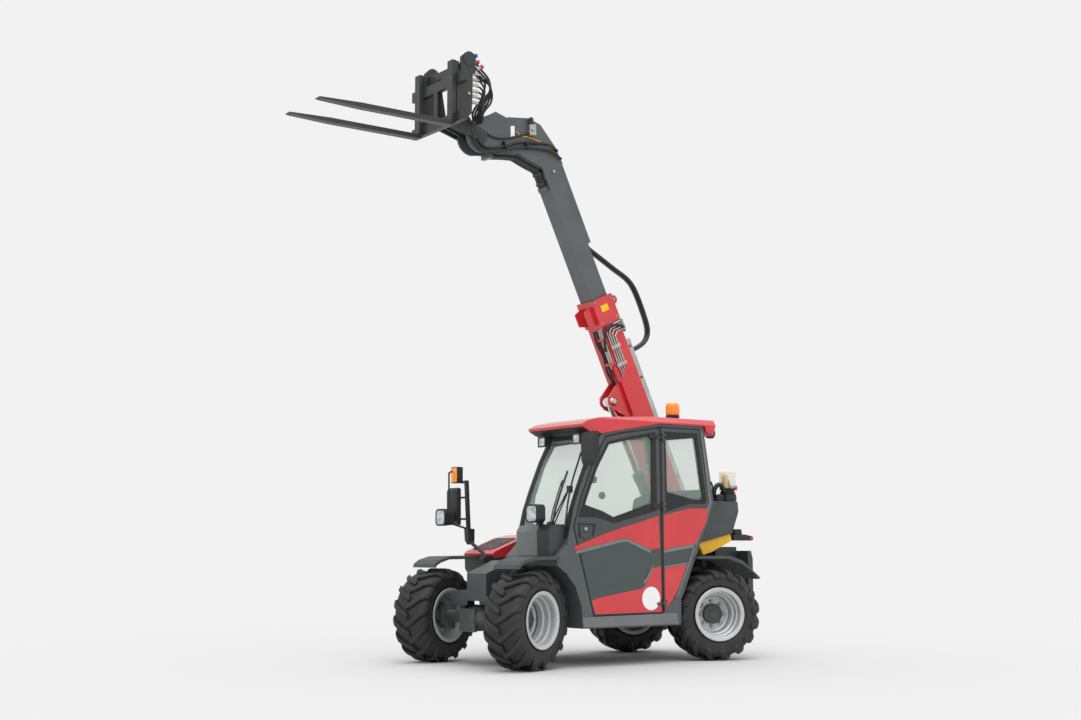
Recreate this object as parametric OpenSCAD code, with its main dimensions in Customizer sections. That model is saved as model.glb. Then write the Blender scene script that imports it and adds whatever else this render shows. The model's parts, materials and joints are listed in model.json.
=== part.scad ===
// Compact telehandler with a telescopic boom, quick hitch and pallet forks.
// X points forward, Y to the driver's left side, Z up. Sizes are in millimetres.

/* [Wheels] */
// Distance between the front and rear kingpins
wheel_base = 2090; // [2060:5:2140]
// Distance from the centre line to a kingpin
kingpin_half = 527; // [520:1:545]
// Distance from a kingpin to the middle plane of its wheel
wheel_offset = 110; // [106:1:116]
// Steering angle of the wheels at rest, front wheels to the left
steer_rest = 19.3; // [0:0.1:25]
// Radius of a tyre over its lugs
tyre_r = 400; // [390:1:405]
// Width of a tyre
tyre_w = 355; // [330:5:360]
// Height of a tread lug
lug_h = 26; // [18:1:32]
// Number of lugs on each side of a tyre
lug_count = 16; // [12:1:20]
// Radius of the rim's outer flange
rim_r = 232; // [225:1:236]
// Radius of the rim's barrel, where the tyre sits
rim_seat_r = 205; // [200:1:210]

/* [Axles] */
// Radius of an axle tube
axle_tube_r = 52; // [45:1:58]
// Radius of a kingpin
kingpin_r = 22; // [18:1:26]
// Radius of a wheel spindle
spindle_r = 34; // [30:1:38]
// Half height of a knuckle between the yoke's arms
knuckle_half = 82; // [78:1:88]

/* [Chassis] */
// Half width of the main frame over its rails
frame_half = 232; // [215:1:236]
// Thickness of the frame's plates
frame_t = 12; // [8:1:16]
// Height of the frame's top plate between the axles
frame_top = 620; // [600:1:630]
// How far the chassis reaches behind the rear axle
rear_overhang = 455; // [435:5:475]
// How far the chassis reaches before the front axle
front_overhang = 115; // [95:5:135]

/* [Boom] */
// Sideways place of the boom's middle plane
boom_y = -140; // [-146:1:-134]
// How far the boom's main pivot lies behind the rear axle
pivot_behind = 239; // [229:1:249]
// Height of the boom's main pivot
boom_pivot_z = 1300; // [1290:1:1310]
// Angle of the boom over the level at rest
boom_angle = 64.5; // [60:0.5:66]
// Length of the outer boom from pivot to its front end
outer_len = 2180; // [2160:5:2200]
// Width of the outer boom
outer_w = 200; // [196:1:206]
// Height of the outer boom
outer_h = 225; // [220:1:232]
// Wall of the outer boom
outer_t = 8; // [6:0.5:9]
// Width of the inner boom
inner_w = 165; // [155:1:170]
// Height of the inner boom
inner_h = 195; // [188:1:198]
// Wall of the inner boom
inner_t = 7; // [5:0.5:9]
// Radius of the boom's main pin
pivot_pin_r = 32; // [28:1:36]
// Clearance of a pin in its bore, on the radius
pin_fit = 0.05; // [0.02:0.01:0.09]

/* [Lift cylinder] */
// How far the cylinder's foot lies behind the boom's main pivot
foot_behind = 16; // [6:1:26]
// Height of the cylinder's foot
foot_z = 700; // [694:1:706]
// Radius of the lift cylinder's barrel
lift_r = 48; // [44:1:52]
// Radius of the lift cylinder's rod
lift_rod_r = 30; // [26:1:33]

/* [Forks] */
// Length of a fork tine in front of its heel
tine_len = 1250; // [1100:10:1300]
// Width of a tine
tine_w = 80; // [70:5:100]
// Thickness of a tine at its heel
tine_t = 40; // [35:1:45]
// Distance between the tines' middles
tine_gap = 530; // [480:10:560]
// Radius of the tilt pin
tilt_pin_r = 25; // [22:1:28]

/* [Cab] */
// Outer face of the cab's left side
cab_left = 760; // [750:1:766]
// Outer face of the cab's right side
cab_right = 22; // [18:1:26]
// Thickness of the cab's walls
cab_t = 38; // [32:1:44]
// Gap round the door
door_gap = 4; // [3:0.5:6]
// Thickness of a pane of glass
glass_t = 5; // [4:0.5:8]

/* [Hidden] */

// Gap of pieces that sit on each other
seat = 0.3;
red = "crimson";
dark = "dimgray";
steel = "silver";
black = [0.12, 0.12, 0.13];

// Outline helpers: points run counter-clockwise, x forward and z up
function outward(a, b) = [b[1] - a[1], a[0] - b[0]] / norm(b - a);
function meet(p, d, q, e) = p + d * cross(q - p, e) / cross(d, e);
function grow(pts, g) = let (n = len(pts)) [for (i = [0:n - 1])
  let (a = pts[(i + n - 1) % n], b = pts[i], c = pts[(i + 1) % n])
  meet(b + outward(a, b) * g, b - a, b + outward(b, c) * g, c - b)];
// A band along an open line, from distance g0 to g1 on its right-hand side
function line_normal(pts, i) = let (n = len(pts))
  i == 0 ? outward(pts[0], pts[1]) : i == n - 1 ? outward(pts[n - 2], pts[n - 1])
  : let (s = outward(pts[i - 1], pts[i]) + outward(pts[i], pts[i + 1])) s * 2 / (s * s);
function band(pts, g0, g1) = concat(
  [for (i = [0:len(pts) - 1]) pts[i] + line_normal(pts, i) * g1],
  [for (i = [len(pts) - 1:-1:0]) pts[i] + line_normal(pts, i) * g0]);
function flip(pts) = [for (i = [len(pts) - 1:-1:0]) pts[i]];
function polar(r, a) = [r * cos(a), r * sin(a)];

// A side-view outline made solid between two sideways places
module side(pts, y0, y1) translate([0, y1, 0]) rotate([90, 0, 0]) linear_extrude(y1 - y0) polygon(pts);
// A front-view outline (y, z) made solid between two lengthwise places
module front(pts, x0, x1) translate([x0, 0, 0]) rotate([90, 0, 90]) linear_extrude(x1 - x0) polygon(pts);
module block(a, b) translate(a) cube(b - a);
module bar_y(r, y0, y1, at = [0, 0], fn = 48)
  translate([at[0], y1, at[1]]) rotate([90, 0, 0]) cylinder(r = r, h = y1 - y0, $fn = fn);
module turned_y(pts, fn = 96) rotate([-90, 0, 0]) rotate_extrude($fn = fn) polygon(pts);
module both_sides() {
  children();
  mirror([0, 1, 0]) children();
}

// Places worked out from the driving sizes
axle_x = wheel_base / 2;
chassis_rear = axle_x + rear_overhang;
chassis_front = axle_x + front_overhang;
bay_nose = axle_x - 352;
bay_tail = 60 - axle_x;
boom_pivot_x = -axle_x - pivot_behind;
foot_x = boom_pivot_x - foot_behind;
boom_pivot = [boom_pivot_x, boom_pivot_z];
// Places measured back and forth from the boom's pivot
function by_pivot(pts) = [for (p = pts) p + [boom_pivot_x, 0]];
function boom_point(p) = boom_pivot + [p[0] * cos(boom_angle) - p[1] * sin(boom_angle),
  p[0] * sin(boom_angle) + p[1] * cos(boom_angle)];
tilt_uv = [3919, -676];
tilt_at = boom_point(tilt_uv);
tine_front = 442 + tine_len;
tow_rear = chassis_rear + 140;
x_mid = (tilt_at[0] + tine_front - tow_rear) / 2;

module boom_space() translate([boom_pivot_x, boom_y, boom_pivot_z]) rotate([0, -boom_angle, 0]) children();
module tilt_space() translate([tilt_at[0], boom_y, tilt_at[1]]) children();
module at_wheel(sx, sy) translate([sx * axle_x, sy * kingpin_half, tyre_r])
  rotate([0, 0, sx * steer_rest]) if (sy < 0) mirror([0, 1, 0]) children(); else children();

// Wheels
hub_r = 86;
disc_in = 78;
spindle_end = 102;
// Half of a tyre's outline from bead to middle: distance from the middle plane, radius over the
// lugs and radius between them. The lugs run back from the middle to the shoulder.
tyre_bead = (rim_seat_r + seat) / cos(45 / lug_count);
tyre_half = [[138, tyre_bead, tyre_bead], [tyre_w / 2, tyre_r - 84, tyre_r - 84],
  [tyre_w / 2 - 8, tyre_r - 46, tyre_r - 52], [tyre_w / 2 - 60, tyre_r - 3, tyre_r - lug_h - 3],
  [20, tyre_r, tyre_r - lug_h]];
tyre_rings = concat([for (h = tyre_half) [-h[0], h[1], h[2]]], [[0, tyre_r - lug_h, tyre_r - lug_h]],
  [for (i = [len(tyre_half) - 1:-1:0]) tyre_half[i]]);
lug_share = [0, 0.56, 0.61, 0.95];
function lug_lag(y) = max(0, abs(y) - 20) / tyre_r * 50;
function tyre_angle(i, ring) = let (y = ring[0], s = y < 0 ? 2 : 0)
  ring[1] == ring[2] ? 90 * i / lug_count + lug_lag(y)
  : (floor((i + s) / 4) - s / 4 + lug_share[(i + s) % 4]) * 360 / lug_count + lug_lag(y);
function tyre_point(i, ring) = let (y = ring[0], k = (i + (y < 0 ? 2 : 0)) % 4,
  r = k < 2 ? ring[2] : ring[1], a = tyre_angle(i, ring)) [r * cos(a), y, r * sin(a)];
module tyre(sx, sy) color(black) at_wheel(sx, sy) translate([0, wheel_offset, 0]) {
  n = 4 * lug_count;
  rings = len(tyre_rings);
  pts = [for (ring = tyre_rings) for (i = [0:n - 1]) tyre_point(i, ring)];
  faces = [for (j = [0:rings - 1]) for (i = [0:n - 1])
    let (a = j * n + i, b = j * n + (i + 1) % n, k = (j + 1) % rings, c = k * n + (i + 1) % n, d = k * n + i)
    each [[a, b, c], [a, c, d]]];
  polyhedron(pts, faces);
}
module rim(sx, sy) color(steel) at_wheel(sx, sy) translate([0, wheel_offset, 0]) {
  s = rim_seat_r;
  d0 = disc_in - wheel_offset;
  turned_y([[s - 7, 163], [rim_r - 5, 171], [rim_r, 168], [rim_r - 2, 160], [s + 5, 150], [s, 140],
    [s, -140], [s + 5, -150], [rim_r - 2, -160], [rim_r, -168], [rim_r - 5, -171], [s - 7, -163],
    [s - 7, d0 + 8], [156, d0 + 8], [146, d0], [hub_r + 0.3, d0], [hub_r + 0.3, d0 + 12],
    [142, d0 + 12], [152, d0 + 20], [s - 7, d0 + 20]]);
  translate([0, -wheel_offset, 0]) turned_y([[spindle_r + pin_fit, 62], [124, 62], [128, 66],
    [128, disc_in - seat], [hub_r, disc_in - seat], [hub_r, 122], [hub_r - 10, 130], [40, 130],
    [40, 138], [0, 138], [0, spindle_end + 2], [spindle_r + pin_fit, spindle_end + 2]]);
}
yoke_t = 30;
module knuckle(sx, sy) color(dark) at_wheel(sx, sy) {
  difference() {
    union() {
      translate([0, 0, -knuckle_half]) cylinder(r = 56, h = 2 * knuckle_half, $fn = 48);
      turned_y([[0, 0], [56, 20], [72, 46], [72, 60], [spindle_r, 60], [spindle_r, spindle_end],
        [0, spindle_end]], 48);
      translate([0, 0, -16]) linear_extrude(32)
        polygon([[sx * -30, 30], [sx * -45, -17], [sx * -128, -29], [sx * -152, -14], [sx * -142, 8]]);
    }
    translate([sx * -134, -11, -20]) cylinder(r = 8, h = 40, $fn = 32);
  }
  translate([0, 0, -knuckle_half - yoke_t])
    cylinder(r = kingpin_r, h = 2 * (knuckle_half + yoke_t), $fn = 48);
}
module axle(sx) color(dark) translate([sx * axle_x, 0, tyre_r]) rotate([0, 0, sx < 0 ? 180 : 0]) {
  both_sides() {
    for (up = [0, 1]) mirror([0, 0, up]) difference() {
      union() {
        translate([-46, kingpin_half - 92, knuckle_half + seat]) cube([92, 92, yoke_t]);
        translate([0, kingpin_half, knuckle_half + seat]) cylinder(r = 46, h = yoke_t, $fn = 48);
      }
      translate([0, kingpin_half, knuckle_half - 1])
        cylinder(r = kingpin_r + pin_fit, h = yoke_t + 2, $fn = 48);
    }
    translate([-46, kingpin_half - 92, -knuckle_half - yoke_t])
      cube([92, 28, 2 * (knuckle_half + yoke_t)]);
    turned_y([[0, 0], [104, 0], [104, 60], [76, 130], [axle_tube_r, 190],
      [axle_tube_r, kingpin_half - 80], [0, kingpin_half - 80]], 48);
    translate([-40, 150, 5]) cube([80, frame_half - 150, 540 - tyre_r - 5 - seat]);
  }
  translate([78, -140, -118]) cube([24, 230, 190]);
  translate([-50, -100, -112]) cube([140, 150, 60]);
  bar_y(30, -160, 160, [-95, 0]);
}

// Chassis
tower_half = 112;
tower_t = 16;
boss_r = 46;
foot_pin_r = 28;
lift_eye_half = 45;
rail_rear = 425 - axle_x;
tower_front = boom_pivot_x + 354;
rail_front = axle_x - 405;
rail = [[-chassis_rear, 540], [rail_rear - 140, 540], [rail_rear, 360], [rail_front, 360],
  [rail_front + 120, 540],
  [chassis_front - frame_t, 540], [chassis_front - frame_t, frame_top], [tower_front, frame_top],
  [tower_front - 80, 800], [-chassis_rear, 800]];
// Box at the front of the frame, which keeps clear of the cab's foot
nose = [[rail_front, 540], [chassis_front, 540], [chassis_front, 765], [axle_x - 135, 870],
  [axle_x - 249, 870],
  [axle_x - 249, 826], [axle_x - 339, 765], [rail_front, 690]];
nose_y = [boom_y + 132, 280];
module chassis_frame() color(dark) {
  difference() {
    union() {
      both_sides() side(rail, frame_half - frame_t, frame_half);
      block([tower_front, -frame_half + 1, frame_top - frame_t], [chassis_front - 1, frame_half - 1,
        frame_top]);
      block([rail_rear, -frame_half + 1, 360], [rail_front, frame_half - 1, 360 + frame_t]);
      block([-chassis_rear, -280, 540], [tower_front, frame_half - 1, 540 + frame_t]);
      block([-chassis_rear, -frame_half + 1, 541], [-chassis_rear + frame_t, frame_half - 1, 799]);
      block([-chassis_rear + 1, boom_y + tower_half + 1, 800 - frame_t], [tower_front - 80,
        frame_half - 1, 800]);
      side(nose, nose_y[0], nose_y[1]);
      block([chassis_front - frame_t, -frame_half, 500], [chassis_front, boom_y + 133, frame_top]);
      for (m = [0, 1]) translate([0, boom_y, 0]) mirror([0, m, 0]) {
        side(by_pivot([[-206, 545], [349, 545], [224, 800], [134, 1240], [94, 1350], [44, 1398],
          [-46, 1398], [-106, 1340], [-206, 900]]), tower_half, tower_half + tower_t);
        bar_y(boss_r, lift_eye_half + seat, tower_half + 1, [foot_x, foot_z]);
      }
      block([boom_pivot_x - 206, boom_y - tower_half - 1, 545],
        [boom_pivot_x - 194, boom_y + tower_half + 1, 1000]);
    }
    translate([0, boom_y, 0]) bar_y(pivot_pin_r + pin_fit, -200, 200, boom_pivot);
    side(grow(nose, -frame_t), nose_y[0] + frame_t, nose_y[1] - frame_t);
  }
  translate([0, boom_y, 0]) bar_y(foot_pin_r, -tower_half - tower_t - 6, tower_half + tower_t + 6,
    [foot_x, foot_z]);
}
module counterweight() color(dark) {
  side([[-chassis_rear - 62, 585], [-chassis_rear - 40, 560], [-chassis_rear - seat, 560],
    [-chassis_rear - seat, 950], [-chassis_rear - 40, 950], [-chassis_rear - 62, 880]], -580, 580);
  for (y = [[10, 430], [-430, -290]]) side([[-chassis_rear - seat, 800 + seat], [boom_pivot_x + 44,
    800 + seat],
    [boom_pivot_x + 44, 960], [boom_pivot_x + 22, 985], [-chassis_rear - seat, 985]], y[0], y[1]);
}
module tow_hitch() color(dark) difference() {
  union() {
    for (z = [470, 550]) translate([-tow_rear, -60, z]) cube([tow_rear - chassis_rear - 62 - seat, 120, 20]);
    translate([-chassis_rear - 62 - 20 - seat, -75, 562]) cube([20, 150, 80]);
    translate([-chassis_rear - 62 - 20 - seat, -75, 470]) cube([20, 150, 100]);
  }
  translate([-tow_rear + 35, 0, 400]) cylinder(r = 16, h = 300, $fn = 48);
}

// Boom
boom_top = 63;
inner_top = 47;
slot_u = outer_len - 445;
slot_half = 71;
channel_half = 65;
channel_h = 48;
channel_u = 2676;
lift_uv = [1257, -302];
inner_tail = 1000;
inner_end = 3440;
outer_low = boom_top - outer_h;
inner_low = inner_top - inner_h;
ear_in = 52;
ear_t = 16;
module boom_outer() color(red) boom_space() {
  difference() {
    union() {
      block([-100, -outer_w / 2, outer_low], [outer_len, outer_w / 2, boom_top]);
      bar_y(112, -outer_w / 2, outer_w / 2, [0, -20]);
      bar_y(62, -tower_half + 2, tower_half - 2);
      block([outer_len - 250, -outer_w / 2 - 14, outer_low - 14],
        [outer_len, outer_w / 2 + 14, boom_top + 12]);
      side([[outer_len - 110, boom_top + 11], [outer_len - 96, boom_top + 44], [outer_len - 66,
        boom_top + 56],
        [outer_len - 36, boom_top + 44], [outer_len - 24, boom_top + 11]], outer_w / 2 - 6, outer_w / 2 + 14);
    }
    bar_y(13, outer_w / 2 - 10, outer_w / 2 + 20, [outer_len - 66, boom_top + 32], 24);
    block([40, -outer_w / 2 + outer_t, outer_low + outer_t],
      [outer_len + 1, outer_w / 2 - outer_t, boom_top - outer_t]);
    block([slot_u, -slot_half, 0], [outer_len + 1, slot_half, boom_top + 40]);
  }
  bar_y(pivot_pin_r, -tower_half - tower_t - 8, tower_half + tower_t + 8);
  for (m = [0, 1]) mirror([0, m, 0]) {
    difference() {
      union() {
        side([[1040, outer_low + 1], [1200, lift_uv[1] - 40], [1310, lift_uv[1] - 40],
          [1400, outer_low + 1]], ear_in, ear_in + ear_t);
        bar_y(56, ear_in, ear_in + ear_t, lift_uv);
      }
      bar_y(28, 0, 100, lift_uv);
    }
    side([[outer_len - 230, outer_low], [outer_len - 190, -270], [outer_len - 70, -270],
      [outer_len - 40, outer_low]], 62, 74);
    block([outer_len - 120, 82.5 + seat, -120], [outer_len - 12, outer_w / 2 - outer_t + 1, 20]);
    block([outer_len - 120, 20, outer_low + outer_t - 1], [outer_len - 12, 70, inner_low - seat]);
  }
}
pipe_r = 11;
pipe_v = boom_top + 4 + pipe_r;
collar_u = outer_len - 250;
side_r = 8;
elbow_r = side_r + 2.5;
side_y = outer_w / 2 + seat + elbow_r;
// A pipe through places, with a round elbow at each turn
module pipe_run(pts) for (i = [1:len(pts) - 1]) {
  rod(pts[i - 1], pts[i], side_r, 24);
  if (i < len(pts) - 1) translate(pts[i]) sphere(r = elbow_r, $fn = 32);
}
module boom_pipes() color(steel) boom_space() {
  for (y = [-48, -16, 16, 48]) translate([120, y, pipe_v]) rotate([0, 90, 0])
    cylinder(r = pipe_r, h = slot_u - 5 - 120, $fn = 24);
  for (u = [300, 0.45 * slot_u, slot_u - 435])
    block([u, -72, boom_top + seat], [u + 36, 72, pipe_v + pipe_r + 5]);
  block([slot_u - 165, -72, boom_top + seat], [slot_u - 123, 72, pipe_v + pipe_r + 8]);
  // Pipes that come down the left face and turn back along it
  for (i = [0:3]) let (u = collar_u - 20 - 26 * i, v = 26 * i - 132)
    pipe_run([[u, side_y, boom_top + 12], [u, side_y, v + 36], [u - 32, side_y, v],
      [collar_u - 500 + 30 * i, side_y, v]]);
  block([collar_u - 112, 76, boom_top + seat], [collar_u - 6, side_y + 12, boom_top + 26]);
  for (u = [collar_u - 400, collar_u - 230])
    block([u, side_y + 2, -150], [u + 30, side_y + side_r + 5, -36]);
}
// Route of the hose loop in the boom's side plane
loop_r = 24;
loop_fore = [[-seat, 74], [-32, 74], [-86, 112], [-176, 183], [-256, 242],
  [-336, 302], [-406, 362], [-471, 408]];
loop_aft = [[395, 436], [315, 446], [195, 448], [85, 445], [-5, 438], [-70, 414], [-115, 370],
  [-137, 310], [-144, 250], [-145, 190], [-145, 140], [-145, pipe_v + pipe_r + 8 + seat - boom_top]];
loop_route = concat([for (p = loop_fore) p + [channel_u, 0]],
  [for (p = loop_aft) p[1] < 100 ? [slot_u + p[0], p[1] + boom_top] : p + [slot_u, 0]]);
function route_dir(p, i) = let (n = len(p),
  a = p[max(i - 1, 0)], b = p[min(i + 1, n - 1)]) (b - a) / norm(b - a);
// A tube of an oval section along a planar route in x and z
module tube_xz(route, ry, rn, k = 10) {
  n = len(route);
  pts = [for (i = [0:n - 1]) let (t = route_dir(route, i)) for (j = [0:k - 1])
    let (a = 360 * (j + 0.5) / k)
    [route[i][0] - t[1] * rn * cos(a), ry * sin(a), route[i][1] + t[0] * rn * cos(a)]];
  faces = concat([[for (j = [k - 1:-1:0]) j]], [[for (j = [0:k - 1]) (n - 1) * k + j]],
    [for (i = [0:n - 2]) for (j = [0:k - 1])
      [i * k + j, i * k + (j + 1) % k, (i + 1) * k + (j + 1) % k, (i + 1) * k + j]]);
  polyhedron(pts, faces);
}
module hose_loop() color(black) boom_space() tube_xz(loop_route, 36, loop_r);

// Head of the inner boom
head_in = 62;
foot_uv = [3640, 20];
lever_len = 180;
lever_at = polar(lever_len, 51);
module boom_inner() color(dark) boom_space() {
  difference() {
    union() {
      block([inner_tail, -inner_w / 2, inner_low], [inner_end, inner_w / 2, inner_top]);
      block([channel_u, -channel_half, inner_top - 1], [inner_end, channel_half, inner_top + channel_h]);
    }
    block([inner_tail - 1, -inner_w / 2 + inner_t, inner_low + inner_t],
      [inner_end + 1, inner_w / 2 - inner_t, inner_top - inner_t]);
    block([channel_u - 1, -channel_half + 4, inner_top],
      [inner_end + 1, channel_half - 4, inner_top + channel_h - 4]);
  }
  block([inner_tail + 60, -60, inner_top - 1], [inner_tail + 160, 60, boom_top - outer_t - seat]);
  for (m = [0, 1]) mirror([0, m, 0]) difference() {
    union() {
      side([[3380, inner_low + 1], [3470, inner_low], [3575, -262], [3665, -350], [3779, -690],
        tilt_uv, [4059, -676], [4078, -424], [3994, -330], [3915, -90], [3835, 0], [3600, 75],
        [inner_end, inner_top + channel_h - 6], [3380, inner_top - 1]], head_in, inner_w / 2);
      bar_y(140, head_in, inner_w / 2, tilt_uv);
      bar_y(60, head_in - 4, inner_w / 2 + 3.5, tilt_uv);
    }
    bar_y(tilt_pin_r + pin_fit, 0, 200, tilt_uv);
  }
  side([[3450, inner_top + 28], [3440, 30], [3560, 30], [3590, 62]], -head_in - 1, head_in + 1);
  side(flip(band([[3470, inner_low], [3575, -262], [3665, -350], [3740, -573]], 0, 12)), -head_in - 1,
    head_in + 1);
  side(band([[3850, -18], [3915, -90], [3985, -304]], 0, -12), -head_in - 1, head_in + 1);
  bar_y(20, -head_in - 1, head_in + 1, foot_uv);
  // Blocks that the head's hoses leave and enter
  block([3262, -58, inner_low - 30], [3300 - seat, 58, inner_low + 1]);
  translate([3725, 0, -610]) rotate([0, hose_end_turn, 0])
    block([seat, -head_in - 1, -19], [40, head_in + 1, 50]);
}
hose_r = 11;
hose_route = [[3300, inner_low - 14], [3350, inner_low - 14], [3400, inner_low - 14], [3440, inner_low - 18],
  [3478, -192], [3515, -236], [3555, -278], [3590, -314], [3620, -342], [3640, -366], [3652, -400],
  [3672, -450], [3690, -505], [3707, -560], [3725, -610]];
hose_end_turn = atan2(50, 18);
module head_hoses() color(black) boom_space() {
  for (y = [-40, -14, 14, 40]) translate([0, y, 0]) tube_xz(hose_route, hose_r, hose_r, 8);
  for (u = [3322, 3412]) block([u, -58, inner_low - 30], [u + 24, 58, inner_low - seat]);
}

// Cylinders
lift_at = boom_point(lift_uv);
foot_at = [foot_x, foot_z];
lift_len = norm(lift_at - foot_at);
lift_dir = atan2(lift_at[1] - foot_z, lift_at[0] - foot_x);
module foot_space() translate([foot_x, boom_y, foot_z]) rotate([0, -lift_dir, 0]) children();
lift_tube = 1080;
eye_r = 52;
module lift_barrel() color(dark) foot_space() difference() {
  union() {
    bar_y(eye_r, -lift_eye_half, lift_eye_half);
    block([0, -lift_eye_half, -40], [eye_r + 6, lift_eye_half, 40]);
    translate([eye_r, 0, 0]) rotate([0, 90, 0]) cylinder(r = lift_r, h = lift_tube - eye_r, $fn = 48);
    translate([lift_tube - 70, 0, 0]) rotate([0, 90, 0]) cylinder(r = lift_r + 7, h = 70, $fn = 48);
  }
  bar_y(foot_pin_r + pin_fit, -100, 100);
  translate([110, 0, 0]) rotate([0, 90, 0]) cylinder(r = lift_rod_r + 0.06, h = lift_tube, $fn = 48);
}
module lift_rod() color(steel) foot_space() difference() {
  union() {
    translate([lift_len - 1010, 0, 0]) rotate([0, 90, 0]) cylinder(r = lift_rod_r, h = 990, $fn = 48);
    bar_y(48, -44, 44, [lift_len, 0]);
  }
  bar_y(28, -100, 100, [lift_len, 0]);
}
tilt_foot = boom_point(foot_uv);
lever_pin = tilt_at + lever_at;
tilt_len = norm(lever_pin - tilt_foot);
tilt_dir = atan2(lever_pin[1] - tilt_foot[1], lever_pin[0] - tilt_foot[0]);
module tilt_foot_space() translate([tilt_foot[0], boom_y, tilt_foot[1]]) rotate([0, -tilt_dir, 0]) children();
tilt_tube = 500;
tilt_rod_r = 20;
module tilt_barrel() color(dark) tilt_foot_space() difference() {
  union() {
    bar_y(40, -46, 46);
    translate([15, 0, 0]) rotate([0, 90, 0]) cylinder(r = 42, h = tilt_tube - 15, $fn = 48);
  }
  bar_y(20 + pin_fit, -100, 100);
  translate([75, 0, 0]) rotate([0, 90, 0]) cylinder(r = tilt_rod_r + 0.06, h = tilt_tube, $fn = 48);
}
module tilt_rod() color(steel) tilt_foot_space() difference() {
  union() {
    translate([tilt_len - 480, 0, 0]) rotate([0, 90, 0]) cylinder(r = tilt_rod_r, h = 460, $fn = 48);
    bar_y(36, -23, 23, [tilt_len, 0]);
  }
  bar_y(18, -100, 100, [tilt_len, 0]);
}

// Quick hitch and forks, measured from the tilt pin
hitch_half = 300;
module quick_hitch() color(black) tilt_space() {
  difference() {
    for (m = [0, 1]) mirror([0, m, 0]) {
      side([[235, 115], [310, 45], [350, 45], [350, 600], [300, 640], [225, 560]], hitch_half - 16,
        hitch_half);
      bar_y(62, hitch_half - 16, hitch_half + 6, [263, 595]);
      side([[-20, -56], [335, 45], [335, 540], [318, 540], [250, 160], [-30, 52]], 88, 108);
      bar_y(58, 88, 108);
      side([[lever_at[0] - 30, lever_at[1] + 18], [-20, 44], [-10, -44], [335, 62], [335, 128],
        [lever_at[0] + 34, lever_at[1] - 10]], 30, 45);
      bar_y(36, 30, 45, lever_at);
      bar_y(50, 30, 45);
    }
    bar_y(18, -60, 60, lever_at);
  }
  bar_y(tilt_pin_r, -112, 112);
  block([316, -hitch_half, 60], [350, hitch_half, 130]);
  block([316, -hitch_half, 480], [350, hitch_half, 545]);
}
carriage_half = 420;
module fork_carriage() color(black) tilt_space() {
  block([350 + seat, -carriage_half, 350], [400, carriage_half, 440]);
  block([350 + seat, -carriage_half, 15], [400, carriage_half, 100]);
  for (y = [-hitch_half - 10, -60, hitch_half - 50]) block([355, y, 99], [395, y + 60, 351]);
  for (y = [-hitch_half + 20, hitch_half - 80]) block([355, y, 439], [395, y + 60, 560]);
}
module fork_tines() color(black) tilt_space() for (m = [-1, 1])
  side([[400 + seat, 555], [400 + seat, 8], [414, -12], [442, -20], [442 + tine_len - 390, -20],
    [442 + tine_len - 30, -8], [442 + tine_len, -2], [442 + tine_len, 4], [442 + tine_len - 390, tine_t - 20],
    [470, tine_t - 20], [448, 30], [400 + tine_t, 50], [400 + tine_t, 555]],
    m * tine_gap / 2 - tine_w / 2, m * tine_gap / 2 + tine_w / 2);

// Cab
// Clearance from an axle to the cab's foot, lengthwise
foot_gap = 515;
cab = [[foot_gap - axle_x, 320], [axle_x - foot_gap, 320], [axle_x - 500, 500], [axle_x - 440, 660],
  [axle_x - 345, 770], [axle_x - 255, 830], [axle_x - 255, 905],
  [690, 1000], [615, 1296], [550, 1467], [445, 1711], [330, 1925], [-300, 2036], [-812, 2036],
  [-925, 1370], [475 - axle_x, 600], [511 - axle_x, 540]];
// The cab's rear edge at a height
function cab_back(z) = 475 - axle_x - (1400 - axle_x) * (z - 600) / 770;
door_t = 36;
post_t = 30;
tunnel_z = frame_top + 10;
door_face = cab_left - door_t;
door_outline = [[-326, 426], [axle_x - 627, 419], [627, 1147], [545, 1400], [432, 1660], [287, 1903],
  [100, 1943], [-311, 2008]];
door_window = [[-265, 1297], [200, 1185], [380, 1232], [568, 1232], [505, 1390], [396, 1640],
  [262, 1852], [95, 1893], [-258, 1956]];
function door_front(z) = axle_x - 627 + (1254 - axle_x) * (z - 419) / 728;
foot_window = [[-120, 700], [door_front(600) - 32, 600], [door_front(905) - 28, 905], [96, 985], [-186,
  900], [-185, 812]];
quarter_outline = [[-336, 434], [-319, 2010], [-766, 2010], [-880, 1370], [520 - axle_x, 612]];
quarter_window = [[-375, 1290], [-365, 1965], [-738, 1965], [-835, 1390], [-820, 1365], [-640, 1360]];
right_window = [[-740, 1180], [520, 1180], [500, 1400], [400, 1660], [290, 1850], [-300, 1950],
  [-745, 1950], [-835, 1380]];
screen_line = [[679, 1045], [615, 1296], [550, 1467], [445, 1711], [347, 1893]];
rear_line = [[-828, 1945], [-905, 1490]];
screen_y = [80, 690];
rear_y = [110, 640];
pane_in = 8;
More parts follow.
